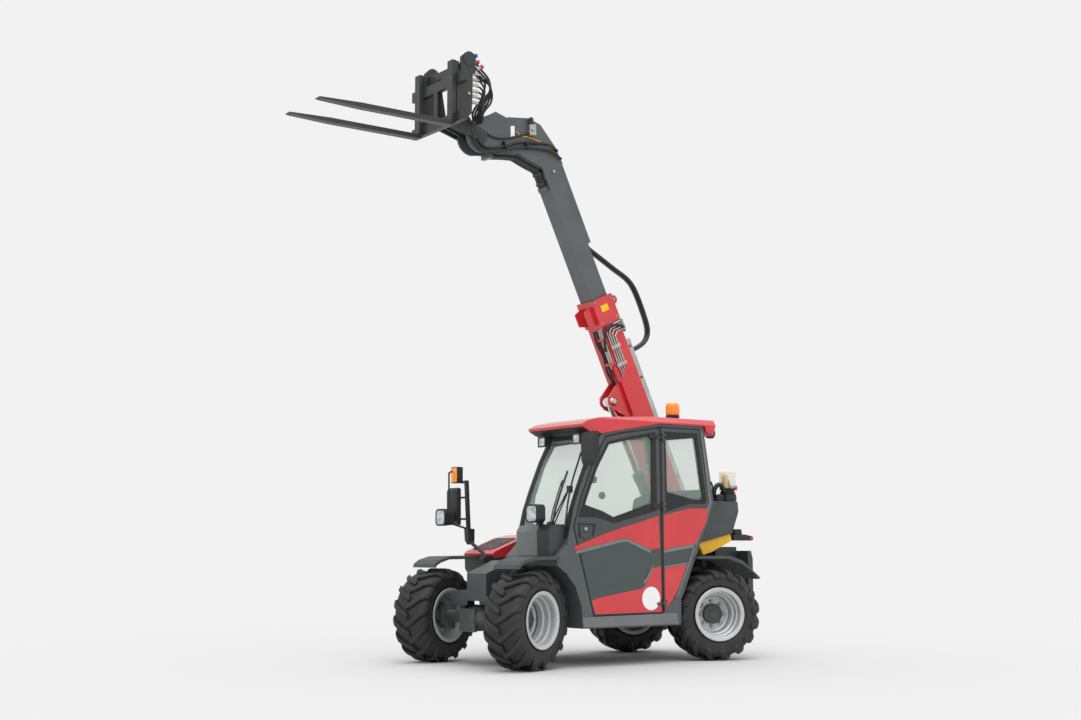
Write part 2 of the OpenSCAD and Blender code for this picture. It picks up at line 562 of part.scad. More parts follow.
// A line drawn back from both its ends
function drawn_back(p, g) = let (n = len(p)) [for (i = [0:n - 1])
  i == 0 ? p[0] + (p[1] - p[0]) * g / norm(p[1] - p[0])
  : i == n - 1 ? p[i] + (p[i - 1] - p[i]) * g / norm(p[i - 1] - p[i]) : p[i]];
module cab_frame() color(dark) difference() {
  side(cab, cab_right, cab_left);
  block([-wheel_base, cab_right - 1, 300], [wheel_base, frame_half + seat, tunnel_z]);
  side(grow(cab, -cab_t), frame_half + seat + cab_t, door_face - post_t);
  intersection() {
    side(grow(cab, -cab_t), cab_right + post_t, frame_half + seat + cab_t + 1);
    block([-wheel_base, 0, tunnel_z + 30], [wheel_base, 500, 2100]);
  }
  side(grow(door_outline, door_gap), door_face - seat, cab_left + 1);
  side(grow(quarter_outline, 2), door_face - seat, cab_left + 1);
  side(grow(door_outline, -38), door_face - post_t - 1, cab_left + 1);
  side(grow(quarter_window, 8), door_face - post_t - 1, cab_left + 1);
  side(grow(right_window, 0), cab_right - 1, cab_right + post_t + 1);
  side(band(screen_line, 40, -60), screen_y[0], screen_y[1]);
  side(band(rear_line, 40, -60), rear_y[0], rear_y[1]);
}
module cab_glass() color("lightcyan", 0.5) {
  side(band(drawn_back(screen_line, seat), -pane_in, -pane_in - glass_t),
    screen_y[0] + seat, screen_y[1] - seat);
  side(band(drawn_back(rear_line, seat), -pane_in, -pane_in - glass_t), rear_y[0] + seat, rear_y[1] - seat);
  side(grow(right_window, -seat), cab_right + 12, cab_right + 12 + glass_t);
  side(grow(quarter_window, -seat), cab_left - 18, cab_left - 18 + glass_t);
}
module cab_roof() color(red) intersection() {
  side([[-915, 1957], [-834, 1993], [-824, 2036 + seat], [-300, 2036 + seat], [332, 1925 + seat],
    [470, 1938], [540, 1975], [545, 1996], [480, 2030], [343, 2062], [-280, 2098], [-966, 2098]],
    cab_right - 14, cab_left + 16);
  front([[cab_right - 14, 1900], [cab_left + 16, 1900], [cab_left + 16, 2050], [cab_left - 30, 2099],
    [cab_right + 30, 2099], [cab_right - 14, 2055]], -1000, 600);
}
hinge_x = -331;
hinge_y = cab_left + 18;
hinge_z = [505, 1328, 1920];
module quarter_panel() color(red) {
  difference() {
    side(quarter_outline, door_face, cab_left);
    side(quarter_window, door_face - 1, cab_left + 1);
  }
  for (z = hinge_z) for (up = [-30, 12]) {
    translate([hinge_x, hinge_y, z + up]) cylinder(r = 11, h = 18, $fn = 32);
    block([hinge_x - 42, cab_left - 1, z + up], [hinge_x - 9, cab_left + 8, z + up + 18]);
    block([hinge_x - 24, cab_left - 1, z + up], [hinge_x - 4, hinge_y + 4, z + up + 18]);
  }
  for (z = hinge_z) translate([hinge_x, hinge_y, z - 20]) cylinder(r = 5, h = 40, $fn = 32);
}
module cab_door() color(red) {
  difference() {
    side(door_outline, door_face, cab_left);
    side(door_window, door_face - 1, cab_left + 1);
    side(foot_window, door_face - 1, cab_left + 1);
    block([-340, door_face - 1, 2000], [-262, cab_left + 1, 2020]);
  }
  for (z = hinge_z) difference() {
    union() {
      translate([hinge_x, hinge_y, z - 11.5]) cylinder(r = 11, h = 23, $fn = 32);
      block([hinge_x + 6, cab_left + 2, z - 11.5], [hinge_x + 70, cab_left + 8, z + 11.5]);
      block([hinge_x + 36, cab_left - 1, z - 11.5], [hinge_x + 70, cab_left + 3, z + 11.5]);
      block([hinge_x + 2, cab_left + 2, z - 11.5], [hinge_x + 16, hinge_y, z + 11.5]);
    }
    translate([hinge_x, hinge_y, z - 20]) cylinder(r = 5 + pin_fit, h = 40, $fn = 32);
  }
  block([450, cab_left - 1, 1058], [560, cab_left + 14, 1100]);
}
module door_glass() color("lightcyan", 0.5) {
  side(grow(door_window, -seat), cab_left - 18, cab_left - 18 + glass_t);
  side(grow(foot_window, -seat), cab_left - 18, cab_left - 18 + glass_t);
}
seat_y = 470;
tub_floor = 320 + cab_t;
module cab_seat() color(black) {
  block([715 - axle_x, seat_y - 150, tub_floor + seat], [0, seat_y + 150, 760]);
  side([[-380, 760], [80, 760], [120, 800], [110, 850], [-360, 830]], seat_y - 215, seat_y + 215);
  side([[-400, 830], [-320, 830], [-400, 1400], [-440, 1440], [-500, 1430], [-490, 1380]],
    seat_y - 200, seat_y + 200);
}
module steering_column() color(black) {
  side([[axle_x - 795, tub_floor + seat], [axle_x - 575, tub_floor + seat], [axle_x - 575, 700], [420, 1060],
    [330, 1080], [300, 1040], [axle_x - 705, 700]], seat_y - 110, seat_y + 110);
  translate([330, seat_y, 1090]) rotate([0, -38, 0]) {
    rotate_extrude($fn = 48) translate([175, 90]) circle(r = 13, $fn = 16);
    translate([0, 0, -20]) cylinder(r = 22, h = 125, $fn = 32);
    for (a = [90, 210, 330]) rotate([0, 0, a]) translate([0, -14, 84]) cube([168, 28, 12]);
  }
  block([-300, cab_right + post_t + 1, tunnel_z + 30 + seat], [250, 230, 860]);
}
module cab_cowl() color(dark) {
  side([[axle_x - 252, 908 + seat], [axle_x - 210, 908 + seat], [axle_x - 203, 1110], [axle_x - 233, 1160],
    [650, 1160], [690, 1002]], 250, 700);
}
module fenders() color(dark) {
  // The front ones start at the cab's corner and below the hood's front edge
  nose_edge = [[5, 876], [90, 850], [137, 822], [141, 806], [163, 806], [153, 838], [105, 872], [0, 902]];
  for (r = [[1, axle_x - 255 + seat, 0], [-1, bay_nose + seat, 9]]) mirror([0, r[0] < 0 ? 1 : 0, 0])
    side(concat([[r[1], 882]], [for (p = nose_edge) p + [axle_x, 0]], [[r[1] + r[2], 908], [r[1] + r[2], 898],
      [r[1], 893]]), 450, 800);
  // The left rear one ends at the cab's corner, the right one at the engine bay
  tail_edge = [[-373, 700], [-315, 750], [-255, 792], [-170, 838], [-15, 878]];
  for (r = [[1, cab_back(880) - 4, cab_back(905) - 4], [-1, bay_tail - 9, bay_tail - 9]]) mirror([0,
    r[0] < 0 ? 1 : 0, 0]) {
    side(concat([for (p = tail_edge) p - [axle_x, 0]], [[r[1], 880], [r[2], 905]],
      [for (p = [[-35, 905], [-185, 862], [-395, 712]]) p - [axle_x, 0]]), 450, 800);
    block([-axle_x - 45, r[0] < 0 ? tower_half + tower_t - boom_y + seat : 180, 806], [5 - axle_x, 475, 830]);
    block([-axle_x - 45, 451, 829], [5 - axle_x, 475, 880]);
  }
  block([-axle_x - 45, 180, 800 + seat], [5 - axle_x, 225, 830]);
}
tank_top = 1390;
tank_front = cab_back(1010) - 81;
module rear_tank() color(dark) {
  side(concat([[tank_front, 1010], [-945, tank_top]], by_pivot([[-61, tank_top], [-71, 1300], [9,
    1105]])), 40, 620);
  side(by_pivot([[-36, 985 + seat], [20, 985 + seat], [44, 1100], [-16, 1160]]), 120, 330);
}
// Height of the tank's sloping underside
function tank_low(x) = 1105 - (x - boom_pivot_x - 9) * 95 / (tank_front - boom_pivot_x - 9);
module yellow_cover() color("gold")
  side([[boom_pivot_x - 6, 1040], [boom_pivot_x + 244, 935], [tank_front - 100, 910],
    [tank_front - 40, tank_low(tank_front - 40) - seat],
    [boom_pivot_x + 14, tank_low(boom_pivot_x + 14) - seat]], 345, 600);
module precleaner() color(black) {
  block([boom_pivot_x - 46, 440, tank_top + seat], [boom_pivot_x + 84, 560, 1500]);
  translate([boom_pivot_x + 22, 500, 1500 + seat]) cylinder(r = 62, h = 165, $fn = 48);
}
// Front faces of the windscreen's posts and of the roof's rear edge, at a height
function post_face(z) = 445 - (z - 1711) * 115 / 214;
function roof_back(z) = -915 - (z - 1957) * 51 / 141;
module rod(a, b, r, fn = 32) {
  d = b - a;
  translate(a) rotate([0, acos(d[2] / norm(d)), atan2(d[1], d[0])]) cylinder(r = r, h = norm(d), $fn = fn);
}
// A rectangle with round corners about a middle, as half width and half height
function round_box(c, a, b, r) = [for (q = [0:3]) for (t = [0:15:90])
  c + [(q == 0 || q == 3 ? 1 : -1) * (a - r), (q < 2 ? 1 : -1) * (b - r)] + polar(r, 90 * q + t)];
module head_lamp(at) intersection() {
  front(round_box([at[1], at[2]], 80, 76, 38), at[0] - 60, at[0] + 60);
  side([[at[0] - 45, at[2] - 40], [at[0] - 5, at[2] - 70], [at[0] + 50, at[2] - 77], [at[0] + 54, at[2] + 77],
    [at[0] - 5, at[2] + 72], [at[0] - 45, at[2] + 44]], at[1] - 90, at[1] + 90);
}
module lamps() color("white") {
  head_lamp([850, 545, 1255]);
  block([786, 522, 1160 + seat], [832, 568, 1212]);
  // Work lamps under the roof's front edge
  for (y = [[82, 172], [560, 650]]) {
    side([[430, 1838], [500, 1830], [505, 1906], [430, 1906]], y[0], y[1]);
    block([438, (y[0] + y[1]) / 2 - 10, 1905], [462, (y[0] + y[1]) / 2 + 10, 1935]);
  }
  // Work lamp and beacon at the rear
  translate([-1030, 640, 1990]) rotate([0, 90, 0]) cylinder(r = 45, h = 60, $fn = 48);
  side([[-971, 1975], [roof_back(1975) - 1, 1975], [roof_back(2005) - 1, 2005], [-971, 2005]], 625, 655);
  block([-chassis_rear - 90, 390, 1030], [100 - chassis_rear, 510, 1066]);
  block([20 - chassis_rear, 415, 1065], [85 - chassis_rear, 485, 1112]);
  block([-chassis_rear - 40, 430, 950 + seat], [-chassis_rear - 10, 470, 1031]);
  translate([-760, 400, 2098 + seat]) rotate_extrude($fn = 48)
    polygon([[0, 0], [30, 0], [22, 20], [56, 28], [62, 34], [62, 54], [57, 58], [60, 96], [54, 106], [0,
      108]]);
}
// Foot, bend and top of the right arm's tube, which stands at the engine bay's nose
arm_foot = [bay_nose + 70, -325, 872];
arm_bend = [bay_nose + 77, -356, 934];
arm_top = [bay_nose + 50, -600, 1030];
arm_x = arm_top[0];
module mirrors() color(black) {
  // Left mirror on an arm at the windscreen's post
  side([[486, 1650], [510, 1647], [530, 1700], [534, 1880], [512, 1931], [468, 1928], [463, 1700]], 742, 902);
  side([[post_face(1800) + 0.4, 1800], [480, 1800], [480, 1828], [post_face(1828) + 0.4, 1828]], 715, 750);
  // Right mirror, head lamp and indicator on a bar
  side([[bay_nose + seat, 838], [bay_nose + 67, 834], [bay_nose + 109, 854], [bay_nose + 109, 882],
    [bay_nose + 80, 906], [bay_nose + 23, 906], [bay_nose + seat, 888]], -372, -296);
  rod(arm_foot, arm_bend, 16);
  translate(arm_bend) sphere(r = 16, $fn = 32);
  rod(arm_bend, arm_top, 16);
  side([[arm_x - 28, 1012], [arm_x + 8, 1004], [arm_x + 34, 1040], [arm_x + 42, 1146],
    [arm_x - 30, 1142]], -632, -570);
  side([[arm_x - 3, 1120], [arm_x + 25, 1120], [arm_x + 50, 1570], [arm_x + 22, 1570]], -624, -590);
  side([[arm_x + 18, 1178], [arm_x + 46, 1180], [arm_x + 64, 1210], [arm_x + 64, 1482], [arm_x + 40, 1510],
    [arm_x + 20, 1500]], -885, -720);
  for (z = [1230, 1420]) rod([arm_x + 18, -605, z], [arm_x + 40, -730, z], 9);
  block([arm_x + 14, -800, 1550], [arm_x + 74, -700, 1694]);
  block([arm_x + 26, -705, 1545], [arm_x + 40, -596, 1568]);
  rod([arm_x + 44, -780, 1680], [arm_x + 110, -780, 1640], 8);
  translate([arm_x + 110, -780, 1640]) sphere(r = 8, $fn = 24);
  rod([arm_x + 110, -780, 1640], [arm_x + 110, -780, 1290], 8);
  rod([arm_x + 10, -610, 1140], [arm_x + 115, -780, 1200], 9);
  head_lamp([arm_x + 130, -800, 1245]);
}
module wiper() color(black) {
  side(band([[645, 1178], [615, 1296], [550, 1467], [488, 1611]], 9, 17), 505, 525);
  side(band([[645, 1178], [615, 1296], [550, 1467], [520, 1537]], 10, 15), 478, 490);
  side(band([[545, 1480], [524, 1528]], 11, 14), 480, 510);
  block([652, 470, 1160 + seat], [682, 540, 1190]);
}

// Engine side
bay = [[525 - axle_x, 330], [axle_x - 525, 330], [axle_x - 510, 500], [axle_x - 445, 670], [axle_x - 355,
  790],
  [bay_nose, 895], [bay_tail + 5, 895], [bay_tail, 845], [245 - axle_x, 835], [345 - axle_x, 765],
    [440 - axle_x, 655],
  [500 - axle_x, 500]];
bay_y = [-760, -290];
hood = [[bay_tail, 895 + seat], [bay_nose, 895 + seat], [bay_nose + 7, 925], [bay_nose - 25, 952], [380,
  1062],
  [250, 1089], [-400, 1128], [bay_tail + 45, 1105], [bay_tail - 5, 1060]];
hood_front = [[-760, 890], [-300, 890], [-300, 1045], [-330, 1130], [-715, 1130], [-760, 1060]];
hood_hinge = [bay_tail - 21, 1050];
hood_t = 12;
hood_arm_y = [-440, -330];
module engine_bay() color(dark) {
  difference() {
    side(bay, bay_y[0], bay_y[1]);
    side(grow(bay, -20), bay_y[0] + 20, bay_y[1] - 20);
    block([bay_tail + 30, bay_y[0] + 20, 850], [bay_nose - 25, bay_y[1] - 20, 900]);
  }
  block([-300, bay_y[1] - 1, 440], [300, -frame_half - seat, 560]);
  for (y = hood_arm_y) {
    side([for (p = [[-12, 855], [27, 855], [27, 890], [10, 900], [10, 1050], [-12,
      1050]]) p + [hood_hinge[0], 0]],
      y, y + 20);
    bar_y(14, y, y + 20, hood_hinge);
  }
  bar_y(7, hood_arm_y[0], hood_arm_y[1] + 20, hood_hinge);
}
module engine_block() color("gray") block([695 - axle_x, -690, 350 + seat], [axle_x - 795, -350, 830]);
module engine_hood() color(red) {
  difference() {
    intersection() {
      side(hood, -760, -300);
      front(hood_front, bay_tail - 15, bay_nose + 17);
    }
    intersection() {
      side(grow(hood, -hood_t), -760, -300);
      front(grow(hood_front, -hood_t), bay_tail - 15, bay_nose + 17);
    }
    for (i = [0:7]) translate([bay_nose - 65, 0, 973]) rotate([0, atan2(110, 288), 0])
      block([-30 * i - 16, -690, -60], [-30 * i, -400, 60]);
    block([bay_tail + hood_t, -760 + hood_t, 880], [bay_nose - 13, -300 - hood_t, 912]);
  }
  difference() {
    union() {
      bar_y(14, hood_arm_y[0] + 21, hood_arm_y[1] - 1, hood_hinge);
      block([hood_hinge[0], hood_arm_y[0] + 21, hood_hinge[1] - 14],
        [bay_tail, hood_arm_y[1] - 1, hood_hinge[1] + 14]);
    }
    bar_y(7 + pin_fit, hood_arm_y[0], hood_arm_y[1] + 20, hood_hinge);
  }
}

module placed() translate([-x_mid, 0, 0]) children();
placed() chassis_frame();
placed() counterweight();
placed() tow_hitch();
placed() axle(1);  // front_axle
placed() axle(-1);  // rear_axle
placed() engine_bay();
placed() engine_block();
placed() cab_frame();
placed() cab_roof();
placed() quarter_panel();
placed() cab_glass();
placed() cab_seat();
placed() steering_column();
placed() cab_cowl();
placed() fenders();
placed() rear_tank();
placed() yellow_cover();
placed() precleaner();
placed() lamps();
placed() mirrors();
placed() wiper();
placed() engine_hood();
placed() cab_door();
placed() door_glass();
placed() knuckle(1, 1);  // knuckle_fl
placed() knuckle(1, -1);  // knuckle_fr
placed() knuckle(-1, 1);  // knuckle_rl
placed() knuckle(-1, -1);  // knuckle_rr
placed() tyre(1, 1);  // tyre_fl
placed() tyre(1, -1);  // tyre_fr
placed() tyre(-1, 1);  // tyre_rl
placed() tyre(-1, -1);  // tyre_rr
placed() rim(1, 1);  // rim_fl
placed() rim(1, -1);  // rim_fr
placed() rim(-1, 1);  // rim_rl
placed() rim(-1, -1);  // rim_rr
placed() boom_outer();
placed() boom_pipes();
placed() hose_loop();
placed() boom_inner();
placed() head_hoses();
placed() lift_barrel();
placed() lift_rod();
placed() tilt_barrel();
placed() tilt_rod();
placed() quick_hitch();
placed() fork_carriage();
placed() fork_tines();
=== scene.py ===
import json
import math

import bmesh
import bpy
from mathutils import Matrix, Vector


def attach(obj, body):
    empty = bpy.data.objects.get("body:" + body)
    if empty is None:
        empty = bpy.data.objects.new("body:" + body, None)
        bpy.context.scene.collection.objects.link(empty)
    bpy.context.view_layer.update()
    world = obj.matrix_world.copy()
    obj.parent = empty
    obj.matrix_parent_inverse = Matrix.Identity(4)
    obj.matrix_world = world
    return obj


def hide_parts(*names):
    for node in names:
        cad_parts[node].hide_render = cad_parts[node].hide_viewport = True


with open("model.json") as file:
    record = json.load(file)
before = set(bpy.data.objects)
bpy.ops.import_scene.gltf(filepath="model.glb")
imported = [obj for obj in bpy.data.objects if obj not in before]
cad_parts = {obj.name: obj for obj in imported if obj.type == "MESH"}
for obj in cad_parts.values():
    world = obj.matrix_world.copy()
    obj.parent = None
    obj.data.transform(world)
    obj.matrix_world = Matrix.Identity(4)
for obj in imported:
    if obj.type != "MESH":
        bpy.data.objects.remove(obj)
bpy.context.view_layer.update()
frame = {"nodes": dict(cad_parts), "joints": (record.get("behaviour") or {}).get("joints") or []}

nodes = frame["nodes"]
joints = {joint["name"]: joint for joint in frame["joints"]}

# Driving sizes in millimetres, in the machine's own frame: x forward from the middle of the wheelbase,
# y to the driver's left, z up from the ground
WHEEL_BASE = 2090
WHEEL_OFFSET = 110
TYRE_R = 400
LUG_COUNT = 16
LUG_SLANT = 1.35
TYRE_SIDES = 96
NUT_COUNT = 8
NUT_CIRCLE = 110
CAB_LEFT = 760
BOOM_Y = -140
BOOM_ANGLE = 64.5
BOOM_PIVOT = (-1284, 1300)
BOOM_LOW = -162
BOOM_HALF = 100
TILT_PIN = (1013.32, 4546.21)
SKIN = 1.6
BEVEL_SKIN = 0.9
WELD_M = 0.00002
HOSE_WELD_M = 0.0002
# Millimetres across a hexagon's flats, divided by this, give the metres from its middle to a corner
HEX_ACROSS = 1732
SHIFT = joints["steer_front_left"]["pos_m"][0] - WHEEL_BASE / 2000


# Places
def mm(x, y, z):
    """A point of the machine's own frame, in the row frame and in metres."""
    return Vector((x / 1000 + SHIFT, y / 1000, z / 1000))


def boom(u, y, v):
    """A point given along the boom, sideways from its middle plane and across it."""
    turn = math.radians(BOOM_ANGLE)
    x = BOOM_PIVOT[0] + u * math.cos(turn) - v * math.sin(turn)
    z = BOOM_PIVOT[1] + u * math.sin(turn) + v * math.cos(turn)
    return mm(x, BOOM_Y + y, z)


def hitch(x, y, z):
    """A point given from the tilt pin."""
    return mm(TILT_PIN[0] + x, BOOM_Y + y, TILT_PIN[1] + z)


# Materials
def srgb(text):
    """The linear colour of an sRGB hex value."""
    parts = [int(text[i:i + 2], 16) / 255 for i in (0, 2, 4)]
    return [p / 12.92 if p <= 0.04045 else ((p + 0.055) / 1.055) ** 2.4 for p in parts] + [1.0]


def add_node(tree, kind, settings=None, links=None, **inputs):
    """Adds a node, sets its properties and inputs, and links its inputs to other nodes' outputs."""
    node = tree.nodes.new(kind)
    for key, value in (settings or {}).items():
        setattr(node, key, value)
    for key, value in inputs.items():
        node.inputs[key.replace("_", " ")].default_value = value
    for key, output in (links or {}).items():
        tree.links.new(output, node.inputs[key])
    return node


def new_material(name, **surface):
    """A material with a Principled shader whose sockets take the given values."""
    material = bpy.data.materials.new(name)
    material.use_nodes = True
    tree = material.node_tree
    shader = tree.nodes["Principled BSDF"]
    for key, value in surface.items():
        shader.inputs[key.replace("_", " ")].default_value = value
    return material, tree, shader


def colour_ramp(tree, factor, stops):
    """A colour that follows factor from stop to stop."""
    node = add_node(tree, "ShaderNodeValToRGB", links={"Fac": factor})
    ramp = node.color_ramp
    while len(ramp.elements) < len(stops):
        ramp.elements.new(0.5)
    for element, (place, colour) in zip(ramp.elements, stops):
        element.position = place
        element.color = colour
    return node.outputs["Color"]


def grain(tree, size_mm, detail=3.0, stretch=(1, 1, 1)):
    """Noise whose blotches are about size_mm across."""
    place = add_node(tree, "ShaderNodeTexCoord")
    turned = add_node(tree, "ShaderNodeMapping", links={"Vector": place.outputs["Object"]}, Scale=stretch)
    noise = add_node(tree, "ShaderNodeTexNoise", links={"Vector": turned.outputs["Vector"]},
                     Scale=1000 / size_mm / 2, Detail=detail, Roughness=0.55)
    return noise.outputs["Fac"]


def bump(tree, shader, height, depth_mm, strength):
    """Relief from a height, so many millimetres deep."""
    node = add_node(tree, "ShaderNodeBump", links={"Height": height}, Distance=depth_mm / 1000, Strength=strength)
    tree.links.new(node.outputs["Normal"], shader.inputs["Normal"])


def painted(name, hexes, rough, coat=0.0, peel_mm=2.4, dusty=0.35):
    """Sprayed machine enamel: two close tones drift over the panel, orange peel breaks the gloss,
    and a thin film of dust lies on what faces up."""
    material, tree, shader = new_material(name, Roughness=rough, Coat_Weight=coat, Coat_Roughness=0.12)
    base = colour_ramp(tree, grain(tree, 160), [(0.3, srgb(hexes[0])), (0.7, srgb(hexes[1]))])
    normal = add_node(tree, "ShaderNodeNewGeometry")
    apart = add_node(tree, "ShaderNodeSeparateXYZ", links={"Vector": normal.outputs["Normal"]})
    film = add_node(tree, "ShaderNodeMapRange", links={"Value": apart.outputs["Z"]},
                    From_Min=0.55, From_Max=1.0, To_Min=0.0, To_Max=dusty)
    patchy = add_node(tree, "ShaderNodeMath", {"operation": "MULTIPLY"},
                      {0: film.outputs["Result"], 1: grain(tree, 45, 5.0)})
    mixed = add_node(tree, "ShaderNodeMix", {"data_type": "RGBA"}, {0: patchy.outputs["Value"], 6: base})
    mixed.inputs[7].default_value = srgb("8e8b86")
    tree.links.new(mixed.outputs[2], shader.inputs["Base Color"])
    uneven = add_node(tree, "ShaderNodeMapRange", links={"Value": grain(tree, 30, 4.0)},
                      To_Min=rough - 0.06, To_Max=rough + 0.08)
    tree.links.new(uneven.outputs["Result"], shader.inputs["Roughness"])
    bump(tree, shader, grain(tree, peel_mm, 1.0), 0.05, 0.5)
    return material


def moulded(name, hexes, rough=0.55, grain_mm=1.6, depth=0.12):
    """Injection-moulded plastic: an etched grain takes the shine off it, and the tone drifts a little."""
    material, tree, shader = new_material(name, Roughness=rough, IOR=1.5)
    base = colour_ramp(tree, grain(tree, 90), [(0.3, srgb(hexes[0])), (0.7, srgb(hexes[1]))])
    tree.links.new(base, shader.inputs["Base Color"])
    bump(tree, shader, grain(tree, grain_mm, 2.0), depth, 0.7)
    return material


def tyre_rubber():
    """Carbon-black tyre rubber: dull, greyer where dry dust sits, with fine moulding marks."""
    material, tree, shader = new_material("tyre_rubber_moulded", Roughness=0.62, IOR=1.52)
    base = colour_ramp(tree, grain(tree, 70, 6.0), [(0.3, srgb("1b1b1c")), (0.62, srgb("2a2a2b")),
                                                    (0.85, srgb("3a3938"))])
    tree.links.new(base, shader.inputs["Base Color"])
    uneven = add_node(tree, "ShaderNodeMapRange", links={"Value": grain(tree, 35, 5.0)}, To_Min=0.5, To_Max=0.78)
    tree.links.new(uneven.outputs["Result"], shader.inputs["Roughness"])
    bump(tree, shader, grain(tree, 2.2, 4.0), 0.25, 0.8)
    return material


def rim_enamel():
    """Silver wheel enamel over pressed steel: fine metal flakes in the paint, a satin sheen."""
    material, tree, shader = new_material("wheel_enamel_silver", Metallic=0.35, Roughness=0.36, Coat_Weight=0.25,
                                          Coat_Roughness=0.2)
    base = colour_ramp(tree, grain(tree, 1.4, 2.0), [(0.35, srgb("aeafb0")), (0.65, srgb("cfd0d1"))])
    tree.links.new(base, shader.inputs["Base Color"])
    bump(tree, shader, grain(tree, 5, 2.0), 0.06, 0.5)
    return material


def plated(name, hexes, rough, streak=(1, 1, 1)):
    """Bare or plated steel: drawn or ground, so that fine lines run one way and catch the light."""
    material, tree, shader = new_material(name, Metallic=1.0, Roughness=rough)
    base = colour_ramp(tree, grain(tree, 24, 4.0, streak), [(0.3, srgb(hexes[0])), (0.7, srgb(hexes[1]))])
    tree.links.new(base, shader.inputs["Base Color"])
    bump(tree, shader, grain(tree, 2, 2.0, streak), 0.03, 0.5)
    return material


def window_glass(name, tint, share):
    """Toughened cab glass: mostly clear with a light green tint, sharp reflections on top."""
    material, tree, shader = new_material(name, Roughness=0.03, IOR=1.45, Alpha=share, Base_Color=srgb(tint),
                                          Specular_IOR_Level=0.5)
    material.surface_render_method = "BLENDED"
    smear = add_node(tree, "ShaderNodeMapRange", links={"Value": grain(tree, 120, 4.0)}, To_Min=0.015, To_Max=0.06)
    tree.links.new(smear.outputs["Result"], shader.inputs["Roughness"])
    return material


def hose_cover(name, rough, rib_scale, depth_mm):
    """Rubber hose or its smooth guard: diagonal ribs, fainter on the guard, and an oily sheen."""
    material, tree, shader = new_material(name, Roughness=rough)
    base = colour_ramp(tree, grain(tree, 25, 3.0), [(0.3, srgb("141415")), (0.7, srgb("242425"))])
    tree.links.new(base, shader.inputs["Base Color"])
    place = add_node(tree, "ShaderNodeTexCoord")
    ribs = add_node(tree, "ShaderNodeTexWave", {"bands_direction": "DIAGONAL"}, {"Vector": place.outputs["Object"]},
                    Scale=rib_scale, Distortion=0.4)
    bump(tree, shader, ribs.outputs["Fac"], depth_mm, 0.5)
    return material


def lens_glass(name, hexes, glow=0.0, cell_mm=9):
    """Clear or coloured lamp lens: hard gloss over moulded prisms."""
    material, tree, shader = new_material(name, Roughness=0.08, IOR=1.58, Coat_Weight=0.5,
                                          Emission_Color=srgb(hexes[1]), Emission_Strength=glow)
    place = add_node(tree, "ShaderNodeTexCoord")
    prisms = add_node(tree, "ShaderNodeTexVoronoi", {"distance": "CHEBYCHEV"}, {"Vector": place.outputs["Object"]},
                      Scale=1000 / cell_mm)
    base = colour_ramp(tree, prisms.outputs["Distance"], [(0.0, srgb(hexes[0])), (0.7, srgb(hexes[1]))])
    tree.links.new(base, shader.inputs["Base Color"])
    bump(tree, shader, prisms.outputs["Distance"], 0.6, 0.6)
    return material


